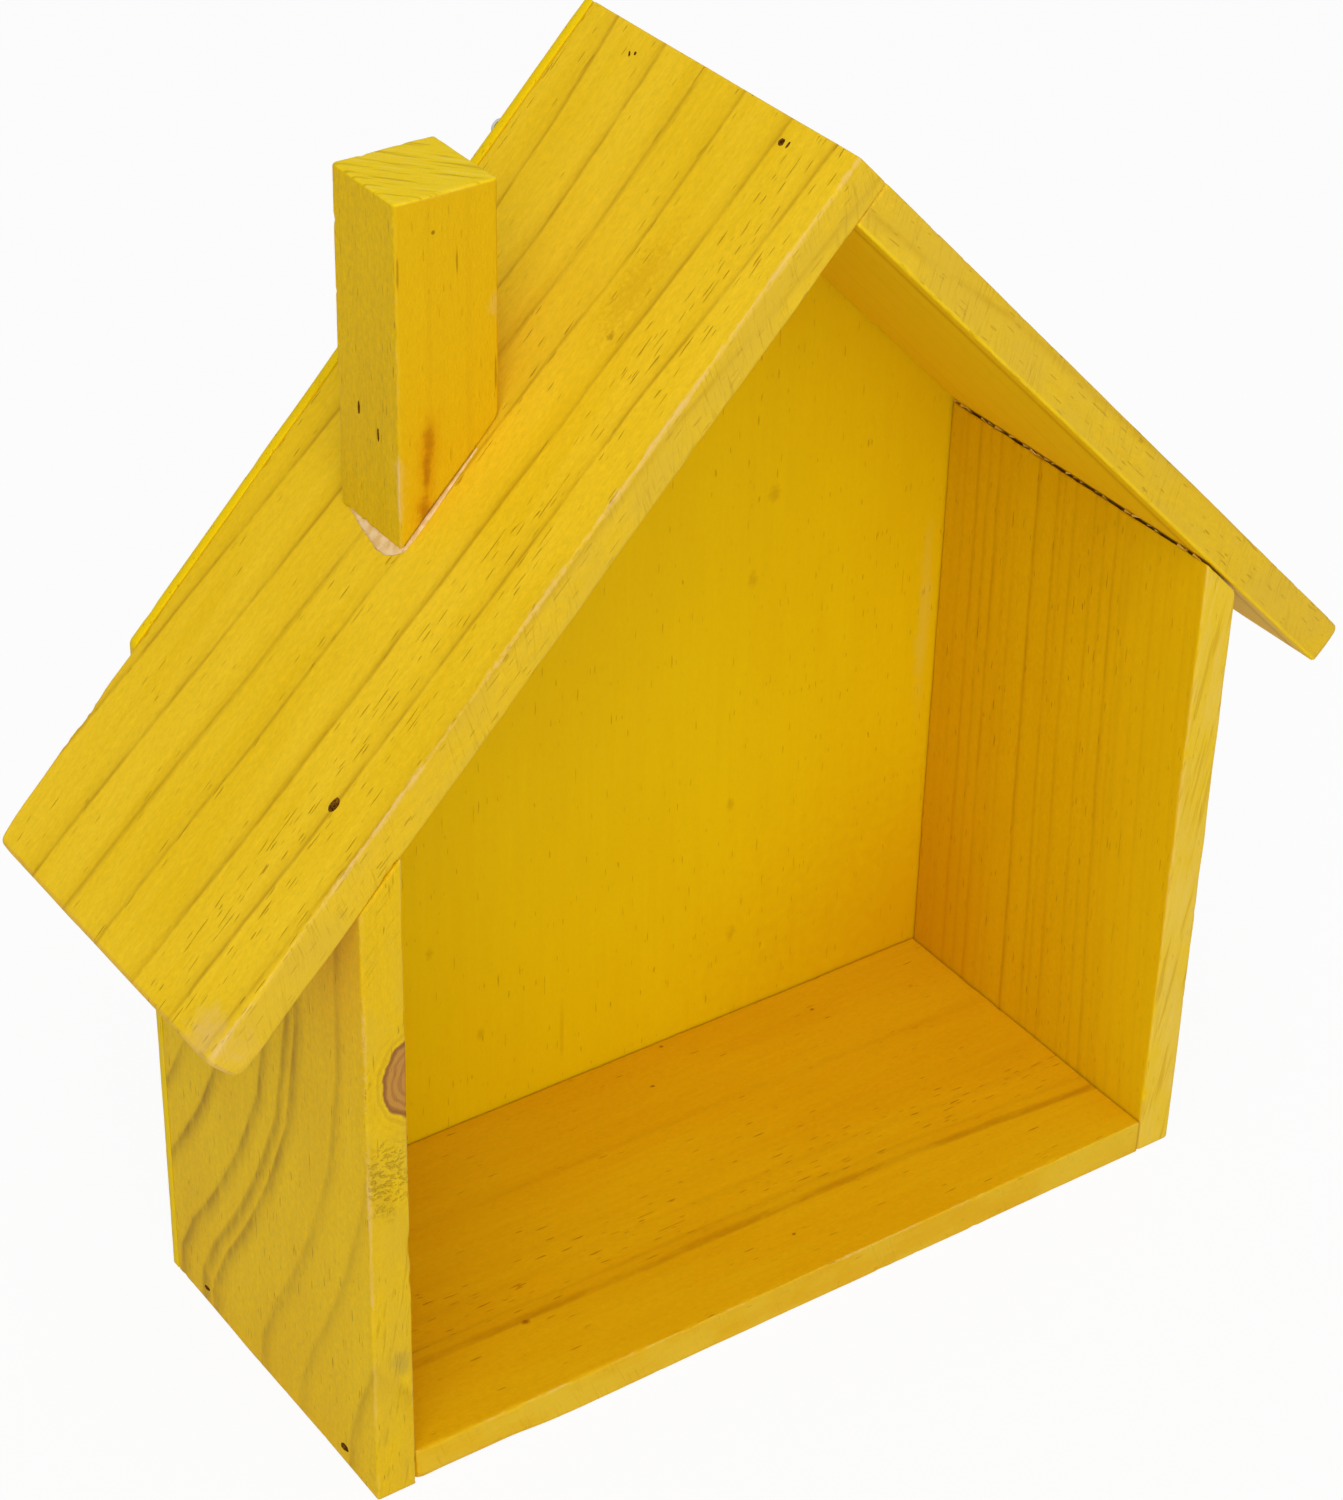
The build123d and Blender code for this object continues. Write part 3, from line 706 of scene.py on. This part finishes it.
def steel(name, colour, rough, spotty):
    made, tree = start_finish(name)
    seat = object_place(tree)
    cloud = clouds(tree, seat, 600.0, detail=4)
    fine = clouds(tree, seat, 4000.0, detail=2)
    tone = blend(tree, ease(tree, cloud, 0.35, 0.7), paint(*colour), paint(*[c * spotty for c in colour]))
    shine = ease(tree, fine, 0.3, 0.7, rough - 0.08, rough + 0.12)
    bump = add(tree, "ShaderNodeBump", {"Height": cloud, "Distance": 0.00005, "Strength": 0.6})
    shader = add(tree, "ShaderNodeBsdfPrincipled",
        {"Base Color": tone, "Roughness": shine, "Metallic": 1.0, "Normal": bump.outputs[0]})
    add(tree, "ShaderNodeOutputMaterial", {"Surface": shader.outputs[0]})
    return made


brad_steel = steel("dark_wire_steel", (104, 84, 62), 0.42, 0.45)
hanger_steel = steel("zinc_plated_strip", (196, 198, 200), 0.32, 0.82)
nail_steel = steel("bright_wire_nail", (186, 186, 184), 0.28, 0.8)
for name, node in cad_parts.items():
    finish = hanger_steel if name == "sawtooth_hanger" else brad_steel
    finish = nail_steel if name in ("hanger_nails", "roof_brads") else finish
    if "brads" in name or "hanger" in name:
        node.data.materials.clear()
        node.data.materials.append(finish)

# %% [markdown]
# ## A board with soft arrises
#
# A sawn board is a prism, but no real arris is sharp: sanding rounds it, knocks chip it, and end
# corners go first. A Bevel modifier gives one width everywhere, which looks machined. Here each board
# starts as a close grid on its prism, finer near the arrises. Each point then slides onto a softened
# solid: the largest of its distances to the six face planes, but with a smooth maximum whose softness
# changes from place to place. Where the softness is large the arris is round or chipped.

# %% Patchy noise and soft planes


def patchy(points, size, seed):
    """Smooth noise from 0 to 1 at points in mm, with one value about every size mm"""
    cell = points / size + seed * 17.31
    base = np.floor(cell).astype(np.int64)
    part = cell - base
    part = part * part * (3 - 2 * part)
    total = np.zeros(len(points))
    for corner in range(8):  # large primes mix the three whole numbers of each corner
        step = np.array((corner & 1, corner >> 1 & 1, corner >> 2))
        key = (base + step) @ np.array((73856093, 19349663, 83492791))
        key = (key ^ (key >> 13)) * 1274126177 & 0x7FFFFFFF
        value = (key ^ (key >> 16)) % 100003 / 100003
        share = np.prod(np.where(step, part, 1 - part), axis=1)
        total += share * value
    return total


def places_along(length, pitch):
    """Steps along a side, from 0 to 1, close together at both ends"""
    close = [c for c in (0, 0.25, 0.5, 0.8, 1.2, 1.7, 2.4, 3.3) if c < max(length / 2 - pitch * 0.5, 0.01)]
    middle = np.linspace(close[-1], length - close[-1], max(2, round((length - 2 * close[-1]) / pitch) + 1))
    return np.unique(np.round(np.concatenate((close, middle, length - np.array(close))), 5)) / length


def face_planes(outline):
    """Outward planes of a prism: each is a direction and how far out it lies"""
    centre = np.mean(outline, axis=0)
    planes = []
    for a, b in zip(outline, np.roll(outline, -1, axis=0)):
        side = np.array(((b - a)[1], -(b - a)[0])) / np.linalg.norm(b - a)
        side = side if side @ (a - centre) > 0 else -side
        planes.append((side[0], 0.0, side[1], side @ a))
    return planes


def soft_distance(points, planes, softness):
    """Distance outside the softened solid, and the direction out of it"""
    value = points @ planes[0][:3] - planes[0][3]
    out = np.broadcast_to(planes[0][:3], points.shape).copy()
    for plane in planes[1:]:
        other = points @ plane[:3] - plane[3]
        near = np.clip(softness - abs(value - other), 0, None) / softness
        share = np.where(value > other, 1 - near / 2, near / 2)[:, None]
        value = np.maximum(value, other) + near * near * softness / 4
        out = out * share + plane[:3] * (1 - share)
    return value, out


# %% [markdown]
# The grid is a block of cells of which only the skin is kept. The board maker also writes an attribute
# called wear on every point, from how near the arris is and how soft it is there, and the finish uses
# it to show bare wood in just the places where the shape is rubbed away.

# %% Closed meshes and the board grid


def closed_mesh(name, points, faces):
    """A smooth mesh from points in mm, with its faces turned outwards"""
    mesh = bpy.data.meshes.new(name)
    mesh.from_pydata((np.array(points) / 1000).tolist(), [], faces)
    skin = bmesh.new()
    skin.from_mesh(mesh)
    bmesh.ops.recalc_face_normals(skin, faces=skin.faces)
    skin.to_mesh(mesh)
    skin.free()
    mesh.shade_smooth()
    return mesh


def board_skin(name, corner_at, long_side, thick_side, y_front, y_rear, pitch=1.25):
    """Points and faces on the skin of a block of cells; corner_at(s, t) gives x and z"""
    s, t = places_along(long_side, pitch), places_along(thick_side, 1.1)
    r = places_along(y_rear - y_front, pitch)
    number = np.full((len(s), len(r), len(t)), -1)
    skin = np.zeros(number.shape, bool)
    skin[[0, -1]] = skin[:, [0, -1]] = skin[:, :, [0, -1]] = True
    number[skin] = np.arange(skin.sum())
    i, j, k = np.nonzero(skin)
    x, z = corner_at(s[i], t[k])
    points = np.stack((x, y_front + r[j] * (y_rear - y_front), z), axis=1)
    faces = []
    for side in (number[0], number[-1], number[:, 0], number[:, -1], number[:, :, 0], number[:, :, -1]):
        faces.append(np.stack((side[:-1, :-1], side[1:, :-1], side[1:, 1:], side[:-1, 1:]), -1).reshape(-1,
            4))
    return points, np.concatenate(faces)


# %% [markdown]
# The board maker slides the grid onto the softened solid in a few steps, gives the flat faces a slight
# wave, and at last keeps every point inside the box of the construction model.

# %% Board maker


def make_board(name, outline, y_front, y_rear, softness, seed, corner_at=None, knocks=(), rubbed=(),
        pitch=1.25, arrises=None, waviness=0.10):
    """Softens a prism; knocks and rubbed are (x, y, z, radius, amount) in mm. Sides are numbered from 0 in
    the outline's order, then front and rear; arrises gives (wear, width in mm) for a pair of them"""
    outline = np.array(outline, float)
    a, b, c, d = outline[:4]
    if corner_at is None:
        def corner_at(s, t):
            p = [np.outer((1 - s) * (1 - t), a), np.outer(s * (1 - t), b), np.outer(s * t, c),
                np.outer((1 - s) * t, d)]
            return sum(p).T
    points, faces = board_skin(name, corner_at, np.linalg.norm(b - a), np.linalg.norm(c - b), y_front,
        y_rear, pitch)
    planes = np.array(face_planes(outline) + [(0, -1, 0, -y_front), (0, 1, 0, y_rear)])
    soft = softness * (0.55 + 0.9 * patchy(points, 11.0, seed))
    chips = np.clip(patchy(points, 2.2, seed + 1) - 0.72, 0, 1) * patchy(points, 14.0, seed + 2)
    soft = soft + softness * 9.0 * chips
    for x, y, z, radius, amount in knocks:
        away = np.linalg.norm(points - (x, y, z), axis=1) / radius
        soft = soft + amount * np.exp(-away ** 2)
    for _ in range(5):
        value, out = soft_distance(points, planes, soft)
        points = points - out * (value / (out ** 2).sum(1))[:, None]
    wave = waviness * patchy(points, 38.0, seed + 3) + 0.035 * patchy(points, 3.5, seed + 4)
    wave = wave * np.clip(soft_distance(points, planes, soft)[0] + 1, 0, 1)
    points = points - out * wave[:, None]
    points = np.clip(points, np.array(cad_box[0]) * 1000, np.array(cad_box[1]) * 1000)
    gaps = planes[:, 3][None] - points @ planes[:, :3].T
    width = 0.5 + patchy(points, 7.0, seed + 5)
    wear = np.zeros(len(points))
    for i in range(len(planes)):
        for j in range(i):
            amount, wide = (arrises or {}).get((j, i), (0.42, 0.6))
            near = np.hypot(gaps[:, i], gaps[:, j]) / (wide * width)
            wear = np.maximum(wear, amount * np.exp(-near ** 2))
    wear = wear * (0.45 + 0.75 * patchy(points, 16.0, seed + 6))
    for x, y, z, radius, amount in rubbed:
        away = np.linalg.norm(points - (x, y, z), axis=1) / radius
        wear = wear + amount * np.exp(-away ** 2)
    mesh = closed_mesh(name, points, faces.tolist())
    mark = mesh.attributes.new("wear", "FLOAT", "POINT")
    mark.data.foreach_set("value", np.clip(wear, 0, 1).astype(np.float32))
    print(name, len(mesh.vertices), "points")
    return in_scene(name, mesh)


# %% [markdown]
# ## Brad holes
#
# The brads are T-shaped nails shot in below the surface, and each leaves a small ragged hole. The
# construction model holds every brad at its place, and its wide end tells where the hole goes. Each cutter
# is a hull round three uneven ovals, one above the other, so no two holes are alike. The exact solver
# keeps the board's grid whole round the cut, and the walls of the hole get a dark brown finish of their own,
# which is painted shade, as a deep narrow hole is dark.

# %% Hole cutter
head_height, head_reach = 0.0006, 0.00085  # how much of a brad's end is looked at, in metres


def brad_heads(node):
    """For each brad: the points of its head and the direction that the head faces, in metres"""
    skin = bmesh.new()
    skin.from_mesh(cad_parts[node].data)
    bmesh.ops.remove_doubles(skin, verts=skin.verts, dist=1e-6)
    left, heads = set(skin.verts), []
    while left:
        found, todo = set(), [next(iter(left))]
        while todo:
            point = todo.pop()
            if point in left:
                left.discard(point)
                found.add(point)
                todo += [e.other_vert(point) for e in point.link_edges]
        spots = np.array(sorted(tuple(p.co) for p in found))
        along = np.linalg.svd(spots - spots.mean(0))[2][0]
        reach = (spots - spots.mean(0)) @ along
        wide = [np.ptp(spots[reach * s > (reach * s).max() - head_height], axis=0).max() for s in (1, -1)]
        along = along if wide[0] > wide[1] else -along
        reach = (spots - spots.mean(0)) @ along
        heads.append((spots[reach > reach.max() - head_reach], along))
    skin.free()
    return heads


def cut_slots(board, node, holes, only=None, seed=0):
    """Cuts ragged holes above the brads of a node; holes are (half width, half height, deeper than the
    head by, moved along the width, moved across) in mm, one list for each brad in turn"""
    jitter = np.random.default_rng(seed)
    heads = [h for h in brad_heads(node) if only is None or only(h[0].mean(0))]
    heads.sort(key=lambda h: tuple(h[0].mean(0).round(4)))
    for index, (spots, along) in enumerate(heads):
        top = spots.mean(0) + along * ((spots - spots.mean(0)) @ along).max()
        wide = np.linalg.svd(spots - spots.mean(0))[2][0]
        across = np.cross(along, wide)
        for half_wide, half_high, deeper, shift, slide in holes[index % len(holes)]:
            middle = top + (wide * shift + across * slide - along * deeper) / 1000
            skin = bmesh.new()
            for push, grow in ((0.0, 0.85), (0.8, 1.0), (7.0, 1.1)):
                for step in range(12):
                    turn = 2 * pi * step / 12
                    reach = grow * jitter.uniform(0.86, 1.14)
                    flat = wide * half_wide * cos(turn) * reach + across * half_high * sin(turn) * reach
                    skin.verts.new(middle + (flat + along * push) / 1000)
            bmesh.ops.convex_hull(skin, input=skin.verts)
            mesh = bpy.data.meshes.new("slot_cutter")
            skin.to_mesh(mesh)
            skin.free()
            mesh.materials.append(slot_wood)
            cutter = in_scene("slot_cutter", mesh)
            cut = board.modifiers.new("slot", "BOOLEAN")
            cut.operation, cut.solver, cut.object = "DIFFERENCE", "EXACT", cutter
            cut.material_mode = "TRANSFER"
            graph = bpy.context.evaluated_depsgraph_get()
            result = bpy.data.meshes.new_from_object(board.evaluated_get(graph))
            board.modifiers.clear()
            board.data = result
            bpy.data.objects.remove(cutter)


# painted shade: the walls of the holes are laid dark brown, as a deep narrow hole is dark
slot_wood, slot_tree = start_finish("hole_wall_painted_shade")
slot_place = add(slot_tree, "ShaderNodeTexCoord").outputs["Object"]
hole_shade_tone = ease(slot_tree, clouds(slot_tree, slot_place, 2500.0, detail=3), 0.35, 0.65)
hole_shade_tone = blend(slot_tree, hole_shade_tone, paint(84, 42, 8), paint(150, 100, 20))
end_finish(slot_tree, hole_shade_tone, 0.8, clouds(slot_tree, slot_place, 3000.0, detail=3))

# %% [markdown]
# ## Making the boards
#
# Each board takes its four corners from the sizes above, in the order long side first. What differs from
# board to board is where corners are knocked, where stain is rubbed off and how worn each arris is. The
# left slope laps over the end of the right one, so its outline ends at the lap.

# %% Make the roof boards
left_slope = make_board("left_slope_board", mirrored([apex, eave_high, eave_low]) + [lap], front,
    board_rear, 1.0, 3, arrises={(0, 4): (0.85, 1.2), (2, 4): (0.7, 0.6), (1, 4): (0.8, 1.0),
    (0, 1): (0.6, 0.8)}, knocks=[(-eave_high[0], front, eave_high[1], 4, 1.2),
    (-eave_high[0], board_rear, eave_high[1], 4, 1.0), (-eave_low[0], front, eave_low[1], 4, 1.2)],
    rubbed=[(-eave_high[0], front, eave_high[1], 7, 0.5)])
right_slope = make_board("right_slope_board", [lap, eave_high, eave_low, ridge_under], front, board_rear,
    1.0, 5, arrises={(0, 4): (0.6, 0.7), (2, 4): (0.75, 0.7)},
    knocks=[(eave_high[0], front, eave_high[1], 4, 1.0), (eave_high[0], board_rear, eave_high[1], 4, 1.5)])

# %% [markdown]
# The tops of the walls follow the slope. The right wall was cut a little short, so a dark gap shows
# between its top and the roof. Small knocks nibble the floor board's front arrises.

# %% Make the walls and the floor
wall_top_inner = ridge_under[1] - inner * tan(slope)
left_wall = make_board("left_wall_board", mirrored([(half_span, 0), (half_span, wall_height),
    (inner, wall_top_inner), (inner, 0)]), front, board_rear, 0.9, 7,
    knocks=[(-inner, front, 70, 3.0, 1.2), (-inner, front, 60, 2.0, 0.8)],
    arrises={(0, 4): (0.75, 1.0), (2, 4): (0.7, 0.9), (3, 4): (0.7, 1.0)})
drop = right_wall_gap / cos(slope)
right_wall = make_board("right_wall_board", [(half_span, 0), (half_span, wall_height - drop),
    (inner, wall_top_inner - drop), (inner, 0)], front, board_rear, 0.9, 9,
    arrises={(2, 4): (0.85, 1.1), (0, 4): (0.55, 0.7), (3, 4): (0.6, 0.8)})
floor_board = make_board("floor_board_worn", [(-inner, floor_thickness), (inner, floor_thickness),
    (inner, 0), (-inner, 0)], front, board_rear, 0.7, 11,
    knocks=[(x, front, 0, 7, 1.4) for x in (-103, -96, -88, -79)]
    + [(x - inner, front, floor_thickness, 1.6, 0.9) for x in (3, 7, 14, 26, 34, 43, 47, 60, 74)],
    arrises={(0, 4): (0.7, 0.7), (2, 4): (0.5, 0.8)})


# %% [markdown]
# The back panel has five sides, so its grid is laid in columns, each as tall as the roof is there. The
# chimney's foot is cut to the slope and its arrises are rubbed through to bare wood in three places.

# %% Make the back panel and the chimney


def gable(s, t):
    """Columns across the back panel, each as tall as the roof is there"""
    x = (2 * s - 1) * half_span
    return x, t * (apex[1] - abs(x) * tan(slope))


side_top = apex[1] - half_span * tan(slope)
back = make_board("back_panel_worn", [(-half_span, 0), (half_span, 0), (half_span, side_top), (0, apex[1]),
    (-half_span, side_top)], board_rear, panel_rear, 0.6, 13, corner_at=gable, pitch=2.0)
chimney = make_board("chimney_block", [(far_side, roof_at(far_side)), (far_side, chimney_top),
    (near_side, chimney_top), (near_side, roof_at(near_side))], chimney_front, chimney_front + chimney_side,
    0.8, 15, pitch=0.9, rubbed=[(near_side, chimney_front, chimney_top - 27, 3.4, 0.9),
    (far_side, chimney_front, chimney_top - 58, 4.5, 0.5),
    (far_side, chimney_front, chimney_top - 66, 4.0, 0.4)],
    arrises={(1, 4): (0.95, 1.0), (1, 2): (0.9, 1.0), (0, 4): (0.6, 0.8), (0, 1): (0.5, 0.6)})
print("chimney from z", round(roof_at(far_side), 1), "to", round(chimney_top, 1))

# %% [markdown]
# Each dressed board now gets its finish and stands in for its plain one. Then the holes are cut, with
# their sizes as read from the picture: a round one over each wall, a wide one at the left wall's foot.

# %% Cut the holes and put the boards in place
boards = ((left_slope, left_slope_wood, "left_roof_board"),
    (right_slope, right_slope_wood, "right_roof_board"), (left_wall, left_wall_wood, "left_wall"),
    (right_wall, right_wall_wood, "right_wall"), (floor_board, floor_wood, "floor_board"),
    (back, panel_paint, "back_panel"), (chimney, chimney_wood, "chimney"))
for board, wood, node in boards:
    board.data.materials.append(wood)
    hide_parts(node)

round_hole, plain_slot = [(1.15, 1.1, 0.1, 0, 0)], [(1.35, 0.65, 0.1, 0, 0)]
cut_slots(left_slope, "ridge_brads", [[(0.85, 0.85, 0.1, 0, 0.6), (0.9, 0.35, -0.5, 0.2, -1.4)],
    [(0.75, 0.3, -0.4, 0.1, 0.8), (0.5, 0.4, -0.4, -0.3, -0.7)]], seed=1)
cut_slots(left_slope, "roof_brads", [round_hole], lambda spot: spot[0] < 0, seed=2)
cut_slots(right_slope, "roof_brads", [round_hole], lambda spot: spot[0] > 0, seed=3)
cut_slots(left_wall, "left_wall_brads", [[(1.8, 0.95, 0.1, 0, 0)], plain_slot], seed=4)
cut_slots(right_wall, "right_wall_brads", [plain_slot], seed=5)
cut_slots(chimney, "chimney_brads", [[(1.3, 0.42, 0.1, 0, 0)]], seed=6)
cut_slots(back, "panel_brads", [plain_slot], seed=7)
for board, _, _ in boards:
    board.data.set_sharp_from_angle(angle=radians(50))
    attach(board, "root")
    print(board.name, "faces", len(board.data.polygons), "finishes", len(board.data.materials))

# %% [markdown]
# ## Glue at the foot of the chimney
#
# When the chimney was pressed down, glue squeezed out along its foot and dried as a flat pale bead: a
# broad lens on the eave side and a thin line along the front. Each bead is swept along a path on the
# roof: a ring of points, wide and low, whose size changes from place to place.

# %% Glue beads


def on_slope(run, back):
    """A point on the left slope: mm down from the ridge and mm from the rear edge"""
    return np.array((-run * cos(slope), board_rear - back, apex[1] - run * sin(slope)))


def glue_bead(name, path, side, up, widths, heights, seed):
    """Sweeps a low oval along a path; every ring has twelve points and both ends are closed"""
    jitter = np.random.default_rng(seed)
    points, faces = [], []
    for place, wide, high in zip(path, widths, heights):
        for step in range(12):
            turn = 2 * pi * step / 12
            reach = jitter.uniform(0.92, 1.08)
            points.append(place + side * cos(turn) * wide * reach + up * sin(turn) * high * reach)
    for ring in range(len(path) - 1):
        for step in range(12):
            a, b = ring * 12 + step, ring * 12 + (step + 1) % 12
            faces.append((a, b, b + 12, a + 12))
    faces += [tuple(range(11, -1, -1)), tuple(range(len(points) - 12, len(points)))]
    mesh = closed_mesh(name, points, faces)
    mesh.materials.append(dried_glue)
    made = in_scene(name, mesh)
    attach(made, "root")
    return made


dried_glue, tree = start_finish("dried_glue")
seat = object_place(tree)
tone = ease(tree, clouds(tree, seat, 500.0, detail=4), 0.35, 0.65)
tone = blend(tree, tone, paint(238, 204, 150), paint(222, 180, 112))
end_finish(tree, tone, 0.5, clouds(tree, seat, 900.0, detail=3), 0.0001, 0.2)
backs = np.linspace(28.9, 51.6, 30)
wide = np.interp(backs, (28.9, 33, 38, 42, 45, 48, 50, 51.6), (0.15, 1.2, 2.4, 3.3, 3.7, 3.3, 2.2, 0.5))
low_side, slope_up = np.array((-cos(slope), 0, -sin(slope))), np.array((-sin(slope), 0, cos(slope)))
broad = glue_bead("glue_broad_bead", [on_slope(113.1 + w / 2, b) for b, w in zip(backs, wide)], low_side,
    slope_up, wide / 2 + 0.3, 0.12 + 0.06 * wide, 21)
runs = np.linspace(88.5, 114.0, 34)
thin = np.interp(runs, (88.5, 96, 104, 111, 114), (0.1, 0.35, 0.6, 0.55, 0.3))
line = glue_bead("glue_front_line", [on_slope(r, 51.35 + 0.25 * t) for r, t in zip(runs, thin)],
    np.array((0, -1.0, 0)), slope_up, thin + 0.1, 0.15 + 0.25 * thin, 22)
print("glue beads:", len(broad.data.polygons) + len(line.data.polygons), "faces")

# %% [markdown]
# ## Torn fibres
#
# A saw leaves fibres standing along an arris, and in the picture they cross the dark gap above the right
# wall and fringe the front of the left one. They repeat, so Geometry Nodes make them: a thin tapered
# cone is set at even steps along a line, with a random turn and length from a fixed seed. The tree's
# inputs are named, and the modifier finds each by its name.

# %% Fibre tree


def fibre_tree():
    tree = bpy.data.node_groups.new("torn_fibres", "GeometryNodeTree")
    face = tree.interface
    face.new_socket("Geometry", in_out="OUTPUT", socket_type="NodeSocketGeometry")
    face.new_socket("Geometry", in_out="INPUT", socket_type="NodeSocketGeometry")
    for name, kind in (("Step", "Float"), ("Length", "Float"), ("Thickness", "Float"), ("Seed", "Int"),
            ("Turn low", "Vector"), ("Turn high", "Vector"), ("Finish", "Material")):
        face.new_socket(name, in_out="INPUT", socket_type="NodeSocket" + kind)
    given = add(tree, "NodeGroupInput").outputs
    line = add(tree, "GeometryNodeMeshToCurve", {0: given["Geometry"]}).outputs[0]
    steps = add(tree, "GeometryNodeResampleCurve", {"Curve": line, "Length": given["Step"]}, mode="LENGTH")
    fibre = add(tree, "GeometryNodeMeshCone", {"Vertices": 5, "Radius Top": 0.00001,
        "Radius Bottom": given["Thickness"], "Depth": given["Length"]}).outputs[0]
    turned = add(tree, "FunctionNodeRandomValue", {0: given["Turn low"], 1: given["Turn high"],
        "Seed": given["Seed"]}, data_type="FLOAT_VECTOR").outputs[0]
    sized = add(tree, "FunctionNodeRandomValue", {2: 0.25, 3: 1.0, "Seed": given["Seed"]}).outputs[1]
    chosen = add(tree, "FunctionNodeRandomValue", {"Probability": 0.6, "Seed": given["Seed"]},
        data_type="BOOLEAN").outputs[3]
    placed = add(tree, "GeometryNodeInstanceOnPoints",
        {"Points": steps.outputs[0], "Instance": fibre, "Selection": chosen, "Rotation": turned,
        "Scale": sized}).outputs[0]
    real = add(tree, "GeometryNodeRealizeInstances", {0: placed}).outputs[0]
    finish = add(tree, "GeometryNodeSetMaterial", {"Geometry": real, "Material": given["Finish"]}).outputs[0]
    add(tree, "NodeGroupOutput", {0: finish})
    return tree


# %% [markdown]
# Each run of fibres starts as a bare line.

# %% Grow the fibres


def fibres(name, path, step, length, thickness, seed, turn_low, turn_high):
    """Torn fibres along a path of points in mm"""
    mesh = bpy.data.meshes.new(name)
    mesh.from_pydata([tuple(np.array(p) / 1000) for p in path], [(i, i + 1) for i in range(len(path) - 1)],
        [])
    made = in_scene(name, mesh)
    grown = made.modifiers.new("fibres", "NODES")
    grown.node_group = torn_fibres
    values = {"Step": step / 1000, "Length": length / 1000, "Thickness": thickness / 1000, "Seed": seed,
        "Turn low": turn_low, "Turn high": turn_high, "Finish": fibre_wood}
    for item in torn_fibres.interface.items_tree:
        if item.item_type == "SOCKET" and item.in_out == "INPUT" and item.name in values:
            grown[item.identifier] = values[item.name]
    graph = bpy.context.evaluated_depsgraph_get()
    result = bpy.data.meshes.new_from_object(made.evaluated_get(graph))
    made.modifiers.clear()
    made.data = result
    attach(made, "root")
    print(name, len(result.polygons), "faces")


fibre_wood, tree = start_finish("pale_fibre")
seat = object_place(tree)
tone = ease(tree, clouds(tree, seat, 900.0, detail=2), 0.35, 0.65)
tone = blend(tree, tone, paint(240, 206, 110), paint(226, 180, 60))
end_finish(tree, tone, 0.6, clouds(tree, seat, 3000.0, detail=2), 0.00005)
torn_fibres = fibre_tree()
gap_z = wall_top_inner - drop + 0.2
fibres("gap_fibres", [(inner - 0.05, front + 5, gap_z), (inner - 0.05, board_rear - 1, gap_z)], 2.6, 4.0,
    0.4, 4, (1.3, -0.3, 0), (1.8, 0.3, 0))
fibres("wall_front_fibres", [(-half_span + 0.25, front + 0.25, 98), (-half_span + 0.25, front + 0.25, 142)],
    0.8, 1.5, 0.1, 9, (-0.3, -1.2, 0), (0.1, -0.3, 0))

# %% [markdown]
# ## Light and floor
#
# The studio light is white and soft. The world gives most of it, and to rays from the camera, from a
# shine or through glass it is plain white, as the picture's background is.

# %% World
scene = bpy.context.scene
scene.view_settings.view_transform = "Standard"
world = bpy.data.worlds.new("studio")
scene.world = world
world.use_nodes = True
world.node_tree.nodes.clear()


def seen_rays(tree):
    """1 for rays from the camera, from a shine or through glass, 0 for those that only bring light"""
    rays = add(tree, "ShaderNodeLightPath").outputs
    most = math(tree, "MAXIMUM", rays["Is Glossy Ray"], rays["Is Transmission Ray"])
    return math(tree, "MAXIMUM", rays["Is Camera Ray"], most)


tree = world.node_tree
room = add(tree, "ShaderNodeBackground", {"Color": (1, 1, 1, 1), "Strength": 0.45})
white = add(tree, "ShaderNodeBackground", {"Color": (1, 1, 1, 1), "Strength": 1.0})
both = add(tree, "ShaderNodeMixShader", {0: seen_rays(tree), 1: room.outputs[0], 2: white.outputs[0]})
add(tree, "ShaderNodeOutputWorld", {"Surface": both.outputs[0]})
print("world light", room.inputs["Strength"].default_value)

# %% [markdown]
# Three large square lamps add a soft direction to it: one from the upper left, so the tops are a little
# brighter than the fronts, one from the front and one from above. All aim at the middle of the shelf.

# %% Lamps
aim = Vector((0, 0, 0.12))


def soft_lamp(name, place, size, power):
    data = bpy.data.lights.new(name, "AREA")
    data.shape = "SQUARE"
    data.size = size
    data.energy = power
    lamp = in_scene(name, data)
    away = Vector(place) - aim
    lamp.matrix_world = Matrix.Translation(place) @ away.to_track_quat("Z", "Y").to_matrix().to_4x4()
    print(name, power, "W")


soft_lamp("key_lamp", (-0.9, -1.3, 1.6), 1.5, 20)
soft_lamp("front_lamp", (-0.8, -2.2, 0.9), 1.6, 7.1)
soft_lamp("top_lamp", (0, -0.3, 2.1), 1.6, 6.2)

# %% [markdown]
# A pale floor throws some light back up. For rays from the camera it glows white, and a small share of
# its real shading stays, so the shelf keeps its shadow.

# %% Floor
white_share = 0.93
floor_mesh = bpy.data.meshes.new("studio_floor")
floor_mesh.from_pydata([(-4, -4, 0), (4, -4, 0), (4, 4, 0), (-4, 4, 0)], [], [(0, 1, 2, 3)])
studio_floor = in_scene("studio_floor", floor_mesh)
floor_paint, tree = start_finish("pale_floor")
diffuse = add(tree, "ShaderNodeBsdfDiffuse", {"Color": (0.84, 0.84, 0.84, 1)})
glow = add(tree, "ShaderNodeEmission", {"Color": (1, 1, 1, 1), "Strength": 1.0})
share = times(tree, seen_rays(tree), white_share)
both = add(tree, "ShaderNodeMixShader", {0: share, 1: diffuse.outputs[0], 2: glow.outputs[0]})
add(tree, "ShaderNodeOutputMaterial", {"Surface": both.outputs[0]})
floor_mesh.materials.append(floor_paint)

# %% [markdown]
# ## Last lines
#
# The box of the construction model is printed.

# %% Sizes and finish
print("cad", [tuple(round(v, 4) for v in c) for c in cad_box])
